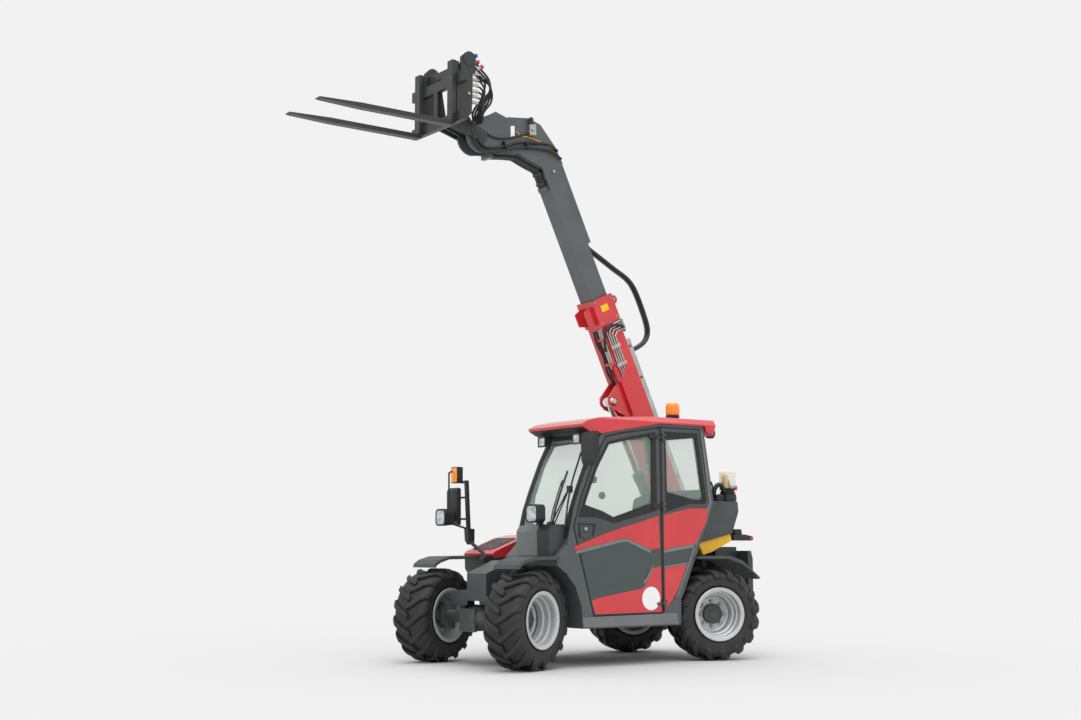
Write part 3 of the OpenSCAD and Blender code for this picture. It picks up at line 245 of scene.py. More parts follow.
MATERIALS = {
    "red": painted("machine_enamel_red", ("c4252c", "cf3138"), 0.3, coat=0.5),
    "grey": painted("machine_enamel_grey", ("454a4b", "4e5354"), 0.42, coat=0.1),
    "panel_grey": painted("panel_enamel_anthracite", ("383c3d", "404445"), 0.38, coat=0.25),
    "pale_grey": painted("panel_enamel_grey_pale", ("6c7172", "777b7c"), 0.4, coat=0.2),
    "sill_grey": painted("panel_enamel_grey_mid", ("66696a", "6f7273"), 0.42, coat=0.15),
    "dark": painted("machine_enamel_anthracite", ("303435", "383c3d"), 0.45),
    "boom_grey": painted("boom_enamel_grey", ("4b5052", "565b5c"), 0.4, coat=0.15),
    "fork_black": painted("fork_enamel_black", ("2b2c2d", "353637"), 0.42, dusty=0.2),
    "casting": painted("cast_iron_painted", ("3a3d3e", "4a4d4d"), 0.55, peel_mm=4.5),
    "plastic": moulded("polypropylene_black", ("1d1e1f", "27282a")),
    "fender": moulded("polyethylene_grey", ("3c3f40", "474a4a"), 0.6, 2.4, 0.2),
    "cowl": painted("cowl_enamel_dark_gloss", ("4b5653", "56615e"), 0.28, coat=0.5),
    "tank": moulded("polyethylene_anthracite", ("3a3f40", "444949"), 0.52, 2.0, 0.15),
    "yellow": moulded("abs_yellow", ("e0ac10", "edbb1d"), 0.35, 3.0, 0.06),
    "tyre": tyre_rubber(),
    "rim": rim_enamel(),
    "steel": plated("zinc_plated_steel", ("a9aaa6", "c9cac5"), 0.34, (1, 1, 0.2)),
    "chrome": plated("hard_chrome_rod", ("cfd2d4", "e6e8e9"), 0.09, (0.2, 1, 0.2)),
    "bolt": plated("zinc_plated_bolt", ("8d8f8e", "b5b6b4"), 0.38),
    "glass": window_glass("toughened_glass_green", "c9ddd3", 0.16),
    "smoked": window_glass("toughened_glass_smoked", "4a5554", 0.82),
    "bowl": window_glass("polycarbonate_bowl_clear", "e9e7dc", 0.35),
    "mirror": plated("silvered_mirror", ("dfe4e6", "eef1f2"), 0.02),
    "hose": hose_cover("hydraulic_hose_rubber", 0.42, 90, 0.4),
    "guard": hose_cover("smooth_hose_guard_polyamide", 0.24, 70, 0.08),
    "lens": lens_glass("polycarbonate_lens_clear", ("e6eaec", "7d8488"), cell_mm=46),
    "amber": lens_glass("polycarbonate_lens_amber", ("d9730c", "ff9a1e"), 0.15),
    "lens_red": lens_glass("polycarbonate_lens_red", ("8d0f14", "c81c22"), 0.05),
    "seal": moulded("epdm_rubber_seal", ("141516", "1c1d1e"), 0.6, 1.2, 0.08),
    "seat": moulded("seat_vinyl_black", ("1c1d1f", "26272a"), 0.5, 2.8, 0.3),
    "decal_white": moulded("vinyl_film_white", ("e9e9e7", "f2f2f0"), 0.4, 6.0, 0.01),
    "decal_yellow": moulded("vinyl_film_yellow", ("e8b800", "f2c40a"), 0.4, 6.0, 0.01),
    "cap_red": moulded("dust_cap_red", ("c8231f", "d93028"), 0.4),
    "cap_blue": moulded("dust_cap_blue", ("1f3f9a", "2a50b4"), 0.4),
    "cap_green": moulded("dust_cap_green", ("1f7a3c", "2b9150"), 0.4),
}


# Making pieces
def finish_piece(obj, material, bevel=0.0, segments=2, smooth=True, body="chassis"):
    """Gives a new piece its material, shading and body, and rounds its edges by bevel millimetres."""
    obj.data.materials.append(MATERIALS[material])
    if obj.type == "MESH" and smooth:
        obj.data.shade_smooth()
    if bevel:
        soften(obj, bevel, segments)
    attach(obj, body)


def soften(obj, width_mm, segments=2):
    """Rounds the edges, as bending, casting or moulding leaves them."""
    weld = obj.modifiers.new("weld", "WELD")
    weld.merge_threshold = WELD_M
    round_edges = obj.modifiers.new("round", "BEVEL")
    round_edges.width = width_mm / 1000
    round_edges.segments = segments
    round_edges.limit_method = "ANGLE"
    round_edges.angle_limit = math.radians(32)
    round_edges.harden_normals = True


def add_object(name, data):
    """An object in the scene that carries the given data."""
    obj = bpy.data.objects.new(name, data)
    bpy.context.scene.collection.objects.link(obj)
    return obj


def mesh_from(name, points, faces):
    """A mesh object whose faces all look outward."""
    mesh = bpy.data.meshes.new(name)
    mesh.from_pydata([tuple(p) for p in points], [], faces)
    mesh.update()
    builder = bmesh.new()
    builder.from_mesh(mesh)
    bmesh.ops.recalc_face_normals(builder, faces=builder.faces)
    builder.to_mesh(mesh)
    builder.free()
    return add_object(name, mesh)


def slab(name, outline, low, high, place):
    """An outline (a, b) made thick between two sideways places; place(a, side, b) gives the point."""
    count = len(outline)
    points = [place(a, side, b) for side in (low, high) for a, b in outline]
    faces = [list(range(count)), list(range(2 * count - 1, count - 1, -1))]
    faces += [[i, (i + 1) % count, count + (i + 1) % count, count + i] for i in range(count)]
    return mesh_from(name, points, faces)


def frame_ring(name, outer, inner, low, high, place):
    """A flat frame between two outlines that have the same number of points."""
    count = len(outer)
    points = [place(a, side, b) for side in (low, high) for line in (outer, inner) for a, b in line]
    faces = []
    for i in range(count):
        j = (i + 1) % count
        faces += [[i, j, count + j, count + i], [2 * count + i, 3 * count + i, 3 * count + j, 2 * count + j],
                  [i, 2 * count + i, 2 * count + j, j], [count + i, count + j, 3 * count + j, 3 * count + i]]
    return mesh_from(name, points, faces)


def grown(outline, gap):
    """The outline with each of its edges moved outward by gap, or inward where gap is negative."""
    count = len(outline)
    area = sum(a[0] * b[1] - b[0] * a[1] for a, b in zip(outline, outline[1:] + outline[:1]))
    gap = gap if area > 0 else -gap
    result = []
    for i in range(count):
        before, here, after = Vector(outline[i - 1]), Vector(outline[i]), Vector(outline[(i + 1) % count])
        first, second = (here - before).normalized(), (after - here).normalized()
        normals = Vector((first.y, -first.x)) + Vector((second.y, -second.x))
        result.append(tuple(here + normals * (2 * gap / normals.length_squared)))
    return result


def round_rect(centre, half_a, half_b, radius, steps=6):
    """A rectangle with round corners about its middle."""
    points = []
    for quarter, (sa, sb) in enumerate(((1, 1), (-1, 1), (-1, -1), (1, -1))):
        for step in range(steps + 1):
            angle = math.pi / 2 * (quarter + step / steps)
            points.append((centre[0] + sa * (half_a - radius) + radius * math.cos(angle),
                           centre[1] + sb * (half_b - radius) + radius * math.sin(angle)))
    return points


def lengthwise(a, side, b):
    """Place of an outline seen from the side: a forward, b up, thick sideways."""
    return mm(a, side, b)


def crosswise(a, side, b):
    """Place of an outline seen from the front: a to the left, b up, thick lengthwise."""
    return mm(side, a, b)


def brick(name, low, high, place=mm):
    """A box between two corners."""
    (x0, y0, z0), (x1, y1, z1) = low, high
    return slab(name, [(x0, z0), (x1, z0), (x1, z1), (x0, z1)], y0, y1, place)


def pipe(name, points, radius_mm, sides=3, smooth=True):
    """A round pipe, hose or bar along the points."""
    curve = bpy.data.curves.new(name, "CURVE")
    curve.dimensions = "3D"
    curve.bevel_depth = radius_mm / 1000
    curve.bevel_resolution = sides
    curve.use_fill_caps = True
    curve.resolution_u = 8
    line = curve.splines.new("BEZIER")
    line.bezier_points.add(len(points) - 1)
    for knot, point in zip(line.bezier_points, points):
        knot.co = point
        knot.handle_left_type = knot.handle_right_type = "AUTO" if smooth else "VECTOR"
    return add_object(name, curve)


def turned(name, profile, at, axis=(1, 0, 0), sides=40, ring=False):
    """A turned piece: profile points (distance along axis, radius) in millimetres.
    A ring's profile is closed and leaves its middle open."""
    turn = Vector(axis).to_track_quat("Z", "Y").to_matrix()
    count = len(profile)
    points, faces = [], []
    for along, radius in profile:
        for i in range(sides):
            angle = 2 * math.pi * i / sides
            local = Vector((radius * math.cos(angle), radius * math.sin(angle), along)) / 1000
            points.append(Vector(at) + turn @ local)
    for here in range(count if ring else count - 1):
        first, after = here * sides, (here + 1) % count * sides
        for i in range(sides):
            j = (i + 1) % sides
            faces.append([first + i, first + j, after + j, after + i])
    if not ring:
        faces += [list(range(sides - 1, -1, -1)), list(range((count - 1) * sides, count * sides))]
    return mesh_from(name, points, faces)


def bolt_heads(name, places, axis, across_mm=17, high_mm=9):
    """Hexagon heads, each on its washer, joined in one mesh."""
    turn = Vector(axis).to_track_quat("Z", "Y").to_matrix()
    points, faces = [], []
    rings = [(0, 1.35, 12), (2, 1.35, 12), (2, 1.0, 6), (high_mm - 1.5, 1.0, 6), (high_mm, 0.82, 6)]
    for at in places:
        start = None
        for along, grow, sides in rings:
            ring = [len(points) + i for i in range(sides)]
            for i in range(sides):
                angle = 2 * math.pi * i / sides
                local = Vector((math.cos(angle), math.sin(angle), 0)) * grow * across_mm / HEX_ACROSS
                points.append(Vector(at) + turn @ (local + Vector((0, 0, along / 1000))))
            if start and len(start) == sides:
                faces += [[start[i], start[(i + 1) % sides], ring[(i + 1) % sides], ring[i]] for i in range(sides)]
            elif start:
                faces.append(start)
            start = ring
        faces.append(start)
    return mesh_from(name, points, faces)


# Wheels
CORNERS = {"fl": ("front_left", 1), "fr": ("front_right", -1), "rl": ("rear_left", 1), "rr": ("rear_right", -1)}


def wheel_place(corner):
    """Turns a point of a wheel (metres from the kingpin, y outward) to the row frame."""
    name, side = CORNERS[corner]
    axis = joints["spin_" + name]["axis"]
    kingpin = Vector(joints["steer_" + name]["pos_m"])
    steer = math.atan2(-axis[0], axis[1])
    flip = Matrix.Diagonal((1, side, 1, 1))
    return Matrix.Translation(kingpin) @ Matrix.Rotation(steer, 4, "Z") @ flip


def tread_radius(y):
    """Radius over the lugs at a distance from the tyre's middle plane."""
    y = abs(y)
    stations = [(0, TYRE_R), (102, TYRE_R), (135, 394), (155, 380), (169, 355), (176, 327)]
    for (y0, r0), (y1, r1) in zip(stations, stations[1:]):
        if y <= y1:
            return r0 + (r1 - r0) * (y - y0) / (y1 - y0)
    return stations[-1][1]


def tyre_carcass(place):
    """The tyre's body: tread floor, rounded shoulders, ribbed sidewalls and beads."""
    half = [(374, 0), (374, 60), (372, 100), (366, 130), (354, 150), (338, 163), (322, 170), (316, 171.5),
            (312, 168.5), (300, 172), (276, 171), (262, 168), (258, 170), (254, 166), (244, 160), (238, 153),
            (234, 151), (214, 149), (206, 138)]
    profile = [(r, -y) for r, y in reversed(half)] + half[1:]
    points, faces = [], []
    for r, y in profile:
        for i in range(TYRE_SIDES):
            angle = 2 * math.pi * i / TYRE_SIDES
            points.append(place @ (Vector((r * math.cos(angle), WHEEL_OFFSET + y, r * math.sin(angle))) / 1000))
    for ring in range(len(profile) - 1):
        for i in range(TYRE_SIDES):
            a, b = ring * TYRE_SIDES + i, ring * TYRE_SIDES + (i + 1) % TYRE_SIDES
            faces.append([a, b, b + TYRE_SIDES, a + TYRE_SIDES])
    return points, faces


def tyre_lugs(place, start):
    """Bars that run from the tread's middle back to each shoulder, in step from side to side."""
    points, faces = [], []
    stations = [(-10, 0.0), (30, 0.034), (70, 0.078), (105, 0.128), (135, 0.176), (157, 0.214), (170, 0.236),
                (176, 0.246)]
    half_top = [19, 19, 19.5, 20.5, 22, 23.5, 24, 22]
    for side in (1, -1):
        for count in range(LUG_COUNT):
            step = 2 * math.pi * (count + (0.5 if side < 0 else 0)) / LUG_COUNT
            first = start + len(points)
            for (y, lag), half in zip(stations, half_top):
                top = tread_radius(y)
                low = min(368, top - 8) if y < 150 else top - 24
                for radius, wide in ((low, half + 9), (top - 2.5, half + 1.5), (top, half - 2),
                                     (top, 2 - half), (top - 2.5, -half - 1.5), (low, -half - 9)):
                    angle = -math.pi / 2 + step + lag * LUG_SLANT + wide / radius
                    out = WHEEL_OFFSET + side * y
                    points.append(place @ (Vector((radius * math.sin(angle), out,
                                                   -radius * math.cos(angle))) / 1000))
            rings = len(stations)
            for ring in range(rings - 1):
                for i in range(6):
                    a, b = first + ring * 6 + i, first + ring * 6 + (i + 1) % 6
                    faces.append([a, b, b + 6, a + 6])
            faces.append([first + i for i in range(6)])
            faces.append([first + (rings - 1) * 6 + i for i in range(5, -1, -1)])
    return points, faces


def build_wheels():
    """The tyres with their lugs, and the nuts round each wheel's middle."""
    for corner in CORNERS:
        place = wheel_place(corner)
        points, faces = tyre_carcass(place)
        more_points, more_faces = tyre_lugs(place, len(points))
        tyre = mesh_from("tyre_with_lugs_" + corner, points + more_points, faces + more_faces)
        finish_piece(tyre, "tyre", body="wheel_" + corner)
        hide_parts("tyre_" + corner)
        out = (place.to_3x3() @ Vector((0, 1, 0))).normalized()
        nuts = [place @ (Vector((NUT_CIRCLE * math.cos(a), 98, NUT_CIRCLE * math.sin(a))) / 1000)
                for a in [2 * math.pi * i / NUT_COUNT for i in range(NUT_COUNT)]]
        finish_piece(bolt_heads("wheel_nuts_" + corner, nuts, out, 24, 16), "bolt", smooth=False,
                     body="wheel_" + corner)


# Dressing the solids
DRESS = {
    "dark": (["chassis_frame", "counterweight", "tow_hitch", "engine_bay"], 3),
    "grey": (["cab_frame"], 5),
    "cowl": (["cab_cowl"], 8),
    "panel_grey": (["cab_door", "quarter_panel"], 3),
    "casting": (["front_axle", "rear_axle", "engine_block", "knuckle_fl", "knuckle_fr", "knuckle_rl",
                 "knuckle_rr"], 4),
    "red": (["cab_roof", "engine_hood", "boom_outer"], 4),
    "boom_grey": (["boom_inner", "lift_barrel", "tilt_barrel"], 2.5),
    "fork_black": (["quick_hitch", "fork_carriage", "fork_tines"], 3),
    "plastic": (["steering_column", "mirrors", "wiper"], 5),
    "fender": (["fenders"], 5),
    "tank": (["rear_tank"], 14),
    "yellow": (["yellow_cover"], 8),
    "rim": (["rim_fl", "rim_fr", "rim_rl", "rim_rr"], 1.5),
    "steel": (["boom_pipes"], 1),
    "chrome": (["lift_rod", "tilt_rod"], 0.8),
    "glass": (["cab_glass", "door_glass"], 0),
    "hose": (["head_hoses"], 0),
    "guard": (["hose_loop"], 0),
    "tyre": (["tyre_fl", "tyre_fr", "tyre_rl", "tyre_rr"], 0),
}


def dress_solids():
    """Paints the CAD nodes and rounds their edges; the hose loop is rounded all along."""
    for material, (names, width) in DRESS.items():
        for name in names:
            obj = nodes[name]
            obj.data.materials.clear()
            obj.data.materials.append(MATERIALS[material])
            if width:
                soften(obj, width)
    weld = nodes["hose_loop"].modifiers.new("weld", "WELD")
    weld.merge_threshold = HOSE_WELD_M
    rounder = nodes["hose_loop"].modifiers.new("rounder", "SUBSURF")
    rounder.levels = rounder.render_levels = 2


# Cab panels, seen from the left: x forward and z up
DOOR = [(-326, 426), (418, 419), (627, 1147), (545, 1400), (432, 1660), (287, 1903), (100, 1943), (-311, 2002)]
DOOR_WINDOW = [(-265, 1297), (200, 1185), (380, 1232), (568, 1232), (505, 1390), (396, 1640), (262, 1852),
               (95, 1893), (-258, 1956)]
DOOR_CLEAR = [(-213, 1353), (203, 1230), (320, 1278), (505, 1328), (484, 1384), (378, 1628), (250, 1836),
              (86, 1872), (-220, 1930)]
DOOR_RED = [(621, 983), (353, 1073), (193, 1122), (-287, 1246), (-297, 973), (-195, 963), (59, 1054), (131, 1050),
            (605, 954)]
DOOR_LOW = [(443, 543), (356, 568), (-105, 636), (-146, 677), (-221, 802), (-307, 822), (-313, 437), (401, 434)]
SMOKED = [(552, 924), (119, 1014), (65, 1014), (-197, 927), (-207, 855), (-139, 747), (-109, 652), (356, 578),
          (448, 560)]
QUARTER = [(-336, 434), (-319, 2010), (-766, 2010), (-880, 1370), (-525, 612)]
QUARTER_WINDOW = [(-375, 1290), (-365, 1965), (-738, 1965), (-835, 1390), (-820, 1365), (-640, 1360)]
QUARTER_CLEAR = [(-384, 1452), (-374, 1902), (-716, 1930), (-797, 1407), (-761, 1389), (-640, 1402)]
QUARTER_RED = [(-344, 1253), (-644, 1315), (-842, 1318), (-846, 1231), (-820, 1173), (-706, 1013), (-344, 963)]
QUARTER_LOW = [(-350, 801), (-600, 834), (-518, 658), (-441, 540), (-352, 446)]
DISC_AT = (-196, 551)
DISC_R = 98
LATCHES = [(-197, 1924), (-235, 1328)]
# Knobs that hold the opening pane of the right window
WINDOW_KNOBS = [(-126, 1577), (-218, 1438)]


def skin(name, outline, body, material, thick=SKIN):
    """A thin panel laid on the cab's left face."""
    panel = slab(name, outline, CAB_LEFT + 0.1, CAB_LEFT + 0.1 + thick, lengthwise)
    finish_piece(panel, material, 0.7, 2, False, body=body)


def chamfer_strip(name, edge, drop, body):
    """The pale bevel that runs under a red panel's lower edge."""
    lower = [(x, z - drop) for x, z in reversed(edge)]
    skin(name, edge + lower, body, "pale_grey", BEVEL_SKIN)


def dress_cab():
    """Red panels, bevels, seals, panes, the handle, the second wiper, the cowl's covers and the mirrors' glass."""
    for name, outline, body in (("door_skin_upper", DOOR_RED, "door"), ("door_skin_lower", DOOR_LOW, "door"),
                                ("quarter_skin_upper", QUARTER_RED, "chassis"),
                                ("quarter_skin_lower", QUARTER_LOW, "chassis")):
        skin(name, outline, body, "red")
    chamfer_strip("door_bevel_upper", [(-195, 960), (59, 1051), (131, 1047), (600, 951)], 26, "door")
    chamfer_strip("door_bevel_lower", [(-221, 834), (-152, 722), (-100, 682), (360, 606), (440, 584)], 26, "door")
    chamfer_strip("quarter_bevel_upper", [(-703, 1010), (-348, 960)], 26, "chassis")
    chamfer_strip("quarter_bevel_lower", [(-606, 850), (-350, 818)], 13, "chassis")
    skin("sill_cover", [(-505, 332), (522, 332), (538, 410), (-478, 424)], "chassis", "sill_grey")
    skin("rear_post_cover", [(-498, 560), (-466, 560), (-502, 600), (-872, 1372), (-783, 1992), (-800, 1992),
                             (-902, 1372), (-520, 604)], "chassis", "sill_grey", BEVEL_SKIN)
    for name, outer, inner, body in (("door_window_seal", DOOR_WINDOW, DOOR_CLEAR, "door"),
                                     ("quarter_window_seal", QUARTER_WINDOW, QUARTER_CLEAR, "chassis")):
        ring = frame_ring(name, grown(outer, 7), inner, CAB_LEFT - 12.5, CAB_LEFT + 1.2, lengthwise)
        finish_piece(ring, "seal", 1.0, 2, False, body=body)
    film = slab("foot_pane_smoked", SMOKED, CAB_LEFT + 0.15, CAB_LEFT + 2.2, lengthwise)
    finish_piece(film, "smoked", 0.6, 2, False, body="door")
    for name, outline, body in (("door_edge_seal", DOOR, "door"), ("quarter_edge_seal", QUARTER, "chassis")):
        ring = frame_ring(name, grown(outline, -0.6), grown(outline, -9), CAB_LEFT, CAB_LEFT + 0.9, lengthwise)
        finish_piece(ring, "seal", smooth=False, body=body)
    recess = frame_ring("handle_frame", [(574, 1176), (397, 1173), (418, 1071), (569, 1070)],
                        [(562, 1163), (412, 1160), (430, 1083), (557, 1083)], CAB_LEFT, CAB_LEFT + 7, lengthwise)
    finish_piece(recess, "plastic", 2.0, 3, False, body="door")
    lock = turned("door_lock", [(0, 15), (8, 15), (11, 12), (11, 5), (8, 4)], mm(500, CAB_LEFT, 1128), (0, 1, 0),
                  32)
    finish_piece(lock, "steel", smooth=False, body="door")
    for x, z in LATCHES:
        plate = brick(f"pane_hinge_{z}", (x - 96, CAB_LEFT + 1, z - 17), (x + 14, CAB_LEFT + 12, z + 17))
        finish_piece(plate, "plastic", 4.0, 3, False, body="door")
    finish_piece(pipe("wiper_blade", [mm(689, 726, 1140), mm(586, 664, 1451), mm(444, 629, 1769)], 8, 3), "plastic")
    for name, low, high in (("outer", (676, 560, 1166), (592, 652, 1452)),
                            ("inner", (680, 520, 1166), (600, 632, 1430))):
        finish_piece(pipe("wiper_arm_" + name, [mm(*low), mm(*high)], 6, 3, False), "plastic")
    clip = brick("wiper_clip", (566, 636, 1428), (606, 678, 1486))
    finish_piece(clip, "plastic", 6.0, 3, False)
    rim = [(837, 909), (845, 1111), (815, 1163), (655, 1163), (655, 1158), (812, 1158), (840, 1110), (832, 909)]
    finish_piece(slab("cowl_cover", rim, 548, 701, lengthwise), "plastic", 1.0, 2, False)
    side = [(795, 910), (833, 910), (840, 1110), (811, 1158), (654, 1158), (690, 1002)]
    finish_piece(slab("cowl_side_cover", side, 699.5, 703, lengthwise), "dark", 1.0, 2, False)
    for name, y0, y1 in (("left", 692, 744), ("right", 38, 78)):
        edge = [(679, 1052), (615, 1296), (550, 1467), (445, 1711), (347, 1893)]
        strip = [(x + 0.8, z + 0.3) for x, z in edge] + [(x + 4, z + 1.5) for x, z in reversed(edge)]
        finish_piece(slab("pillar_trim_" + name, strip, y0, y1, lengthwise), "seal", 1.0, 2, False)
    disc = turned("blank_disc", [(0, DISC_R), (0.7, DISC_R)], mm(DISC_AT[0], CAB_LEFT + 1.8, DISC_AT[1]), (0, 1, 0),
                  72)
    finish_piece(disc, "decal_white", smooth=False, body="door")
    for x, z in WINDOW_KNOBS:
        knob = turned(f"window_knob_{z}", [(0, 16), (14, 16), (18, 30), (38, 33), (46, 27), (49, 10)],
                      mm(x, 39.5, z), (0, 1, 0), 32)
        finish_piece(knob, "plastic")
    for y0, y1, z0, z1, x, name in ((756, 888, 1706, 1918, 461.5, "left"),
                                    (-873, -732, 1196, 1488, 758.5, "right")):
        outline = round_rect(((y0 + y1) / 2, (z0 + z1) / 2), (y1 - y0) / 2, (z1 - z0) / 2, 22)
        glass = slab("mirror_glass_" + name, outline, x - 1.5, x + 2.5, crosswise)
        finish_piece(glass, "mirror", 0.8, 2, False)


# Lamps
HEAD_LAMP = (850, 545, 1255)
RIGHT_LAMP = (873, -800, 1245)
BEACON_AT = (-772, 400, 2098)
BEACON_RIBS = 20
BOWL_AT = (-1335, 500)


def lamp_face(name, x, y, z, half_y, half_z, radius):
    """A bezel with a reflector's lens set in it, facing forward."""
    bezel = frame_ring(name + "_bezel", round_rect((y, z), half_y, half_z, radius),
                       round_rect((y, z), half_y - 11, half_z - 11, radius - 6), x - 2, x + 9, crosswise)
    finish_piece(bezel, "plastic", 2.5, 3, False)
    lens = slab(name + "_lens", round_rect((y, z), half_y - 11.5, half_z - 11.5, radius - 6), x - 4, x + 5,
                crosswise)
    finish_piece(lens, "lens", 3.0, 3, False)


def build_lamps():
    """Head, work and rear lamps, the visor's liner, the beacon and the indicator."""
    x, y, z = HEAD_LAMP
    shell = slab("head_lamp_left", round_rect((y, z), 79, 75, 38), x - 44, x + 42, crosswise)
    finish_piece(shell, "plastic", 9.0, 4, False)
    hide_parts("lamps")
    lamp_face("head_lamp_left", x + 41, y, z, 79, 75, 38)
    finish_piece(brick("head_lamp_foot", (786, 522, 1160), (832, 568, 1214)), "plastic", 4.0)
    lamp_face("head_lamp_right", RIGHT_LAMP[0] + 50, RIGHT_LAMP[1], RIGHT_LAMP[2], 78, 74, 38)
    for name, y in (("right", 146), ("left", 636)):
        body = slab("work_lamp_" + name, [(430, 1846), (492, 1836), (496, 1924), (446, 1922), (430, 1906)], y - 50,
                    y + 50, lengthwise)
        finish_piece(body, "plastic", 6.0, 3, False)
        lamp_face("work_lamp_" + name, 496, y, 1880, 54, 46, 12)
        stay = slab("work_lamp_stay_" + name, [(398, 1880), (436, 1872), (440, 1896), (404, 1930), (388, 1929)],
                    y - 12, y + 12, lengthwise)
        finish_piece(stay, "plastic", 3.0, 2, False)
    liner = slab("visor_liner", [(340, 1921.6), (340, 1925.4), (470, 1937.4), (538, 1973.4), (538, 1968.5),
                                 (470, 1932.6)], 30, 752, lengthwise)
    finish_piece(liner, "plastic", smooth=False)
    tail = turned("rear_work_lamp", [(0, 38), (4, 45), (52, 45), (60, 30)], mm(-1030, 640, 1990), (1, 0, 0), 40)
    finish_piece(tail, "plastic", 2.0)
    glass = turned("rear_work_lamp_lens", [(-3, 34), (1, 37)], mm(-1030, 640, 1990), (1, 0, 0), 40)
    finish_piece(glass, "lens", 1.0)
    finish_piece(brick("rear_work_lamp_stay", (-972, 625, 1975), (-920, 655, 2003)), "plastic")
    bar = slab("rear_light_bar", [(-1390, 1042), (-1390, 1090), (-1540, 1098), (-1634, 1082), (-1634, 1042)], 390,
               510, lengthwise)
    finish_piece(bar, "plastic", 8.0, 3, False)
    box = slab("rear_light_box", [(-1424, 1089), (-1420, 1146), (-1510, 1146), (-1518, 1096)], 405, 495, lengthwise)
    finish_piece(box, "plastic", 8.0, 3, False)
    finish_piece(brick("rear_light_stay", (-1396, 430, 1054), (-1325, 470, 1076)), "plastic", 3.0)
    finish_piece(brick("rear_light_lens", (-1638, 398, 1048), (-1600, 512, 1076)), "lens_red", 3.0, 3, False)
    base = turned("beacon_base", [(0.3, 34), (7, 34), (10, 16), (26, 16), (30, 48), (38, 60), (56, 62), (62, 57)],
                  mm(*BEACON_AT), (0, 0, 1), 48)
    finish_piece(base, "plastic", 1.5)
    dome = turned("beacon_dome", [(62, 57), (66, 60), (144, 61), (160, 57), (170, 46), (175, 28), (176, 0.5)],
                  mm(*BEACON_AT), (0, 0, 1), 48)
    finish_piece(dome, "amber")
    for side in range(BEACON_RIBS):
        angle = 2 * math.pi * side / BEACON_RIBS
        place = mm(BEACON_AT[0] + 61 * math.cos(angle), BEACON_AT[1] + 61 * math.sin(angle), BEACON_AT[2] + 66)
        rib = pipe(f"beacon_rib_{side}", [place, place + Vector((0, 0, 0.076))], 1.6, 2, False)
        finish_piece(rib, "amber")
    marker = slab("indicator_lens", round_rect((-750, 1622), 44, 64, 10), 815, 822, crosswise)
    finish_piece(marker, "amber", 2.0, 3, False)


def build_air_cleaner():
    """Air intake on the tank: a ribbed black housing under a clear bowl that shows its yellow core."""
    x, y = BOWL_AT
    housing = brick("air_cleaner_housing", (x - 48, 430, 1390.3), (x + 78, 570, 1462))
    finish_piece(housing, "plastic", 12.0, 4, False)
    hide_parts("precleaner")
    inlet = brick("air_cleaner_inlet", (x + 92, 440, 1390.3), (x + 178, 556, 1452))
    finish_piece(inlet, "plastic", 9.0, 3, False)
    link = brick("air_cleaner_link", (x + 70, 462, 1404), (x + 100, 540, 1440))
    finish_piece(link, "steel", 2.0, 2, False)
    collar = turned("air_cleaner_collar", [(-18, 58), (0, 62), (6, 72), (16, 72), (22, 60), (32, 60), (36, 74),
                                           (46, 76)], mm(x, y, 1464), (0, 0, 1), 48)
    finish_piece(collar, "plastic", 1.0)
    snorkel = pipe("air_cleaner_snorkel", [mm(x + 60, y + 30, 1474), mm(x + 96, y + 34, 1520),
                                           mm(x + 128, y + 30, 1542), mm(x + 172, y + 20, 1506),
                                           mm(x + 176, y + 10, 1450)], 21, 4)
    finish_piece(snorkel, "plastic")
    hose = pipe("air_cleaner_breather", [mm(x + 150, y - 30, 1450), mm(x + 160, y - 40, 1560),
                                         mm(x + 196, y - 30, 1572), mm(x + 232, y - 10, 1520),
                                         mm(x + 236, y, 1440)], 8, 3)
    finish_piece(hose, "hose")
    bowl = turned("air_cleaner_bowl", [(0, 66), (8, 74), (144, 76), (153, 70), (157, 40), (158, 0.5)],
                  mm(x, y, 1510), (0, 0, 1), 48)
    finish_piece(bowl, "bowl")
    core = turned("air_cleaner_core", [(2, 26), (96, 30), (124, 18)], mm(x + 40, y + 10, 1512), (0, 0, 1), 32)
    finish_piece(core, "yellow", 3.0)
    vane = turned("air_cleaner_vane", [(2, 34), (20, 34), (40, 14), (76, 12)], mm(x - 18, y - 8, 1512), (0, 0, 1),
                  32)
    finish_piece(vane, "casting", 2.0)
    for name, at, wide in (("drain", (x - 84, y + 10, 1496), 22), ("knob", (x - 58, y + 30, 1400), 20)):
        drain = turned("air_cleaner_" + name, [(0, wide - 4), (26, wide), (44, wide - 4)], mm(*at), (0, 0, 1), 24)
        finish_piece(drain, "cap_red", 2.0)


